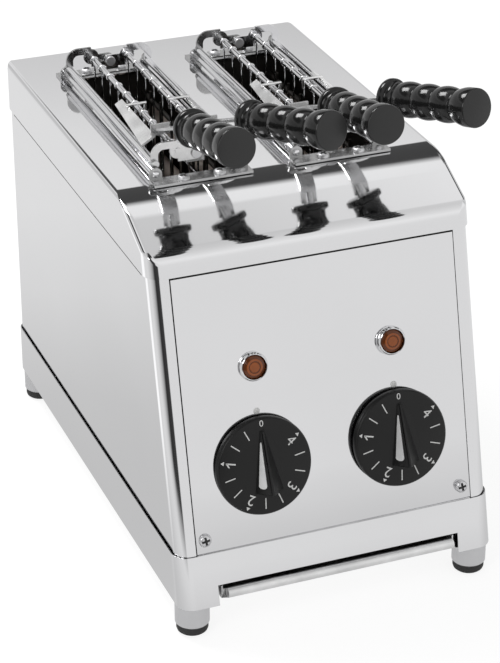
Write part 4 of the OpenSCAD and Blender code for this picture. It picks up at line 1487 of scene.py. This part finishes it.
class TOASTER_OT_studio(bpy.types.Operator):
    """Floor, light, background and camera"""
    bl_idname = "toaster.studio"
    bl_label = "Studio"

    def execute(self, context):
        studio = settings()[3]
        context.scene.view_settings.view_transform = "Standard"
        self.add_camera(context, studio)
        self.add_floor(studio)
        self.add_world(context)
        self.add_light("softbox_behind", (-0.45, 0.65, 1.35), (0, -0.05, 0.28), (0.52, 0.52), 12)
        self.add_light("softbox_left", (-1.3, -1.0, 1.2), (0, 0, 0.15), (0.5, 0.7), 6)
        return {"FINISHED"}

    def add_camera(self, context, studio):
        """Camera with the place, the turn and the lens of the settings."""
        camera = bpy.data.cameras.new("camera")
        camera.sensor_fit = "HORIZONTAL"
        camera.sensor_width = 36
        camera.lens = studio.lens
        camera.clip_end = 20
        holder = bpy.data.objects.new("camera", camera)
        holder.location = studio.camera_place
        holder.rotation_euler = Euler((math.pi / 2 - studio.elevation, 0, studio.azimuth))
        context.scene.collection.objects.link(holder)
        context.scene.camera = holder

    def add_floor(self, studio):
        """White floor to the camera. To reflections it glows with painted light instead: painted shade that
        darkens it towards the object, and a painted dark gap and a painted glint on the left front.
        """
        bm = bmesh.new()
        bmesh.ops.create_grid(bm, x_segments=8, y_segments=8, size=6)
        floor = add_object("floor", mesh_from("floor", bm))
        made, s = material("floor")
        camera = s.node("ShaderNodeLightPath", out="Is Camera Ray")
        mirror = s.node("ShaderNodeLightPath", out="Is Glossy Ray")
        place = s.node("ShaderNodeTexCoord", out="Object")
        reach = s.vector_math("LENGTH", place, out="Value")
        # Painted shade: the floor's glow in reflections darkens towards the object.
        near = s.ramp(reach * 2.0, (0.20, 0.62), (0.40, 0.66), (0.70, 0.80), (1.0, 0.87))
        corner = (-HALF_WIDTH, BASE_LOW.y + 25 * MM, 0)
        way = s.vector_math("SUBTRACT", place, corner)
        far = s.vector_math("LENGTH", way, out="Value")
        gap_share = s.ramp(far, (0.30, 0.0), (0.75, 1.0))
        bright_share = s.ramp(far, (0.08, 0.1), (0.30, 1.0))
        lit = s.node("ShaderNodeBsdfDiffuse", sockets={"Color": (*studio.floor, 1)})
        white = s.node("ShaderNodeEmission", sockets={"Color": (1, 1, 1, 1), "Strength": 1.15})
        # Painted dark gap and painted glint in the floor's glow by the left front corner.
        cards = s.front_cards(way, near, gap_share, bright_share)
        seen = s.node("ShaderNodeEmission", sockets={"Color": cards})
        shade = s.node("ShaderNodeMixShader", sockets={0: camera * 0.74, 1: lit, 2: white})
        shade = s.node("ShaderNodeMixShader", sockets={0: mirror, 1: shade, 2: seen})
        s.node("ShaderNodeOutputMaterial", sockets={"Surface": shade})
        floor.data.materials.append(made)

    def add_world(self, context):
        """White to the camera; reflections see soft cards with dark gaps between them."""
        world = bpy.data.worlds.new("studio")
        context.scene.world = world
        s = Shader(world)
        kinds = ("Camera", "Glossy", "Transmission")
        path = {kind: s.node("ShaderNodeLightPath", out=f"Is {kind} Ray") for kind in kinds}
        direct = path["Camera"] + path["Glossy"] + path["Transmission"]
        seen = s.node("ShaderNodeClamp", sockets={"Value": direct})
        way = s.node("ShaderNodeTexCoord", out="Generated")
        height = s.node("ShaderNodeSeparateXYZ", sockets={"Vector": way}, out="Z")
        depth = s.node("ShaderNodeSeparateXYZ", sockets={"Vector": way}, out="Y")
        behind = s.ramp(
            height, (0.0, 0.72), (0.33, 0.62), (0.40, 0.90), (0.435, 0.92), (0.47, 0.08), (0.74, 0.06),
            (0.79, 1.0), (0.88, 0.98), (0.93, 0.70), (1.0, 0.70))
        ahead = s.ramp(height, (0.0, 0.87), (0.35, 0.88), (0.6, 1.0), (0.9, 0.75), (1.0, 0.70))
        ahead = s.front_cards(way, ahead)
        cards = s.mixed(s.ramp(depth * 0.5 + 0.5, (0.42, 0.0), (0.56, 1.0)), ahead, behind)
        mirrored = s.mixed(path["Camera"], cards, (1, 1, 1))
        plain = s.node("ShaderNodeBackground", sockets={"Color": (1, 1, 1, 1), "Strength": 0.50})
        shown = s.node("ShaderNodeBackground", sockets={"Color": mirrored, "Strength": 1.0})
        shade = s.node("ShaderNodeMixShader", sockets={0: seen, 1: plain, 2: shown})
        s.node("ShaderNodeOutputWorld", sockets={"Surface": shade})

    def add_light(self, name, place, aim, size, power):
        """Rectangular soft light that faces a point."""
        light = bpy.data.lights.new(name, "AREA")
        light.shape = "RECTANGLE"
        light.size, light.size_y = size
        light.energy = power
        holder = bpy.data.objects.new(name, light)
        holder.location = place
        holder.rotation_euler = (Vector(aim) - Vector(place)).to_track_quat("-Z", "Y").to_euler()
        bpy.context.scene.collection.objects.link(holder)


class TOASTER_PT_sidebar(bpy.types.Panel):
    """Sidebar list of the toaster's pieces"""
    bl_idname = "TOASTER_PT_sidebar"
    bl_label = "Sandwich toaster"
    bl_space_type = "VIEW_3D"
    bl_region_type = "UI"
    bl_category = "Toaster"

    def draw(self, context):
        for operator in OPERATORS:
            self.layout.operator(operator.bl_idname)
        for group in settings():
            column = self.layout.column()
            for key in group.bl_rna.properties.keys():
                if key not in {"rna_type", "name"}:
                    column.prop(group, key)


GROUPS = {
    "toaster_casing": CasingSettings,
    "toaster_controls": ControlSettings,
    "toaster_tongs": TongSettings,
    "toaster_studio": StudioSettings,
}
OPERATORS = (
    TOASTER_OT_studio, TOASTER_OT_cover, TOASTER_OT_base, TOASTER_OT_sides, TOASTER_OT_front,
    TOASTER_OT_screws, TOASTER_OT_feet, TOASTER_OT_tray, TOASTER_OT_lamps, TOASTER_OT_knobs,
    TOASTER_OT_slots, TOASTER_OT_tongs, TOASTER_OT_handles, TOASTER_OT_inside,
)


def register():
    """Registers the settings, the operators and the sidebar."""
    for made in (*GROUPS.values(), *OPERATORS, TOASTER_PT_sidebar):
        bpy.utils.register_class(made)
    for key, group in GROUPS.items():
        setattr(bpy.types.Scene, key, bpy.props.PointerProperty(type=group))


def unregister():
    """Takes back what register adds."""
    for key in GROUPS:
        delattr(bpy.types.Scene, key)
    for made in reversed((*GROUPS.values(), *OPERATORS, TOASTER_PT_sidebar)):
        bpy.utils.unregister_class(made)


def main():
    """Builds all pieces."""
    register()
    for operator in OPERATORS:
        group, name = operator.bl_idname.split(".")
        getattr(getattr(bpy.ops, group), name)()


if __name__ == "__main__":
    main()
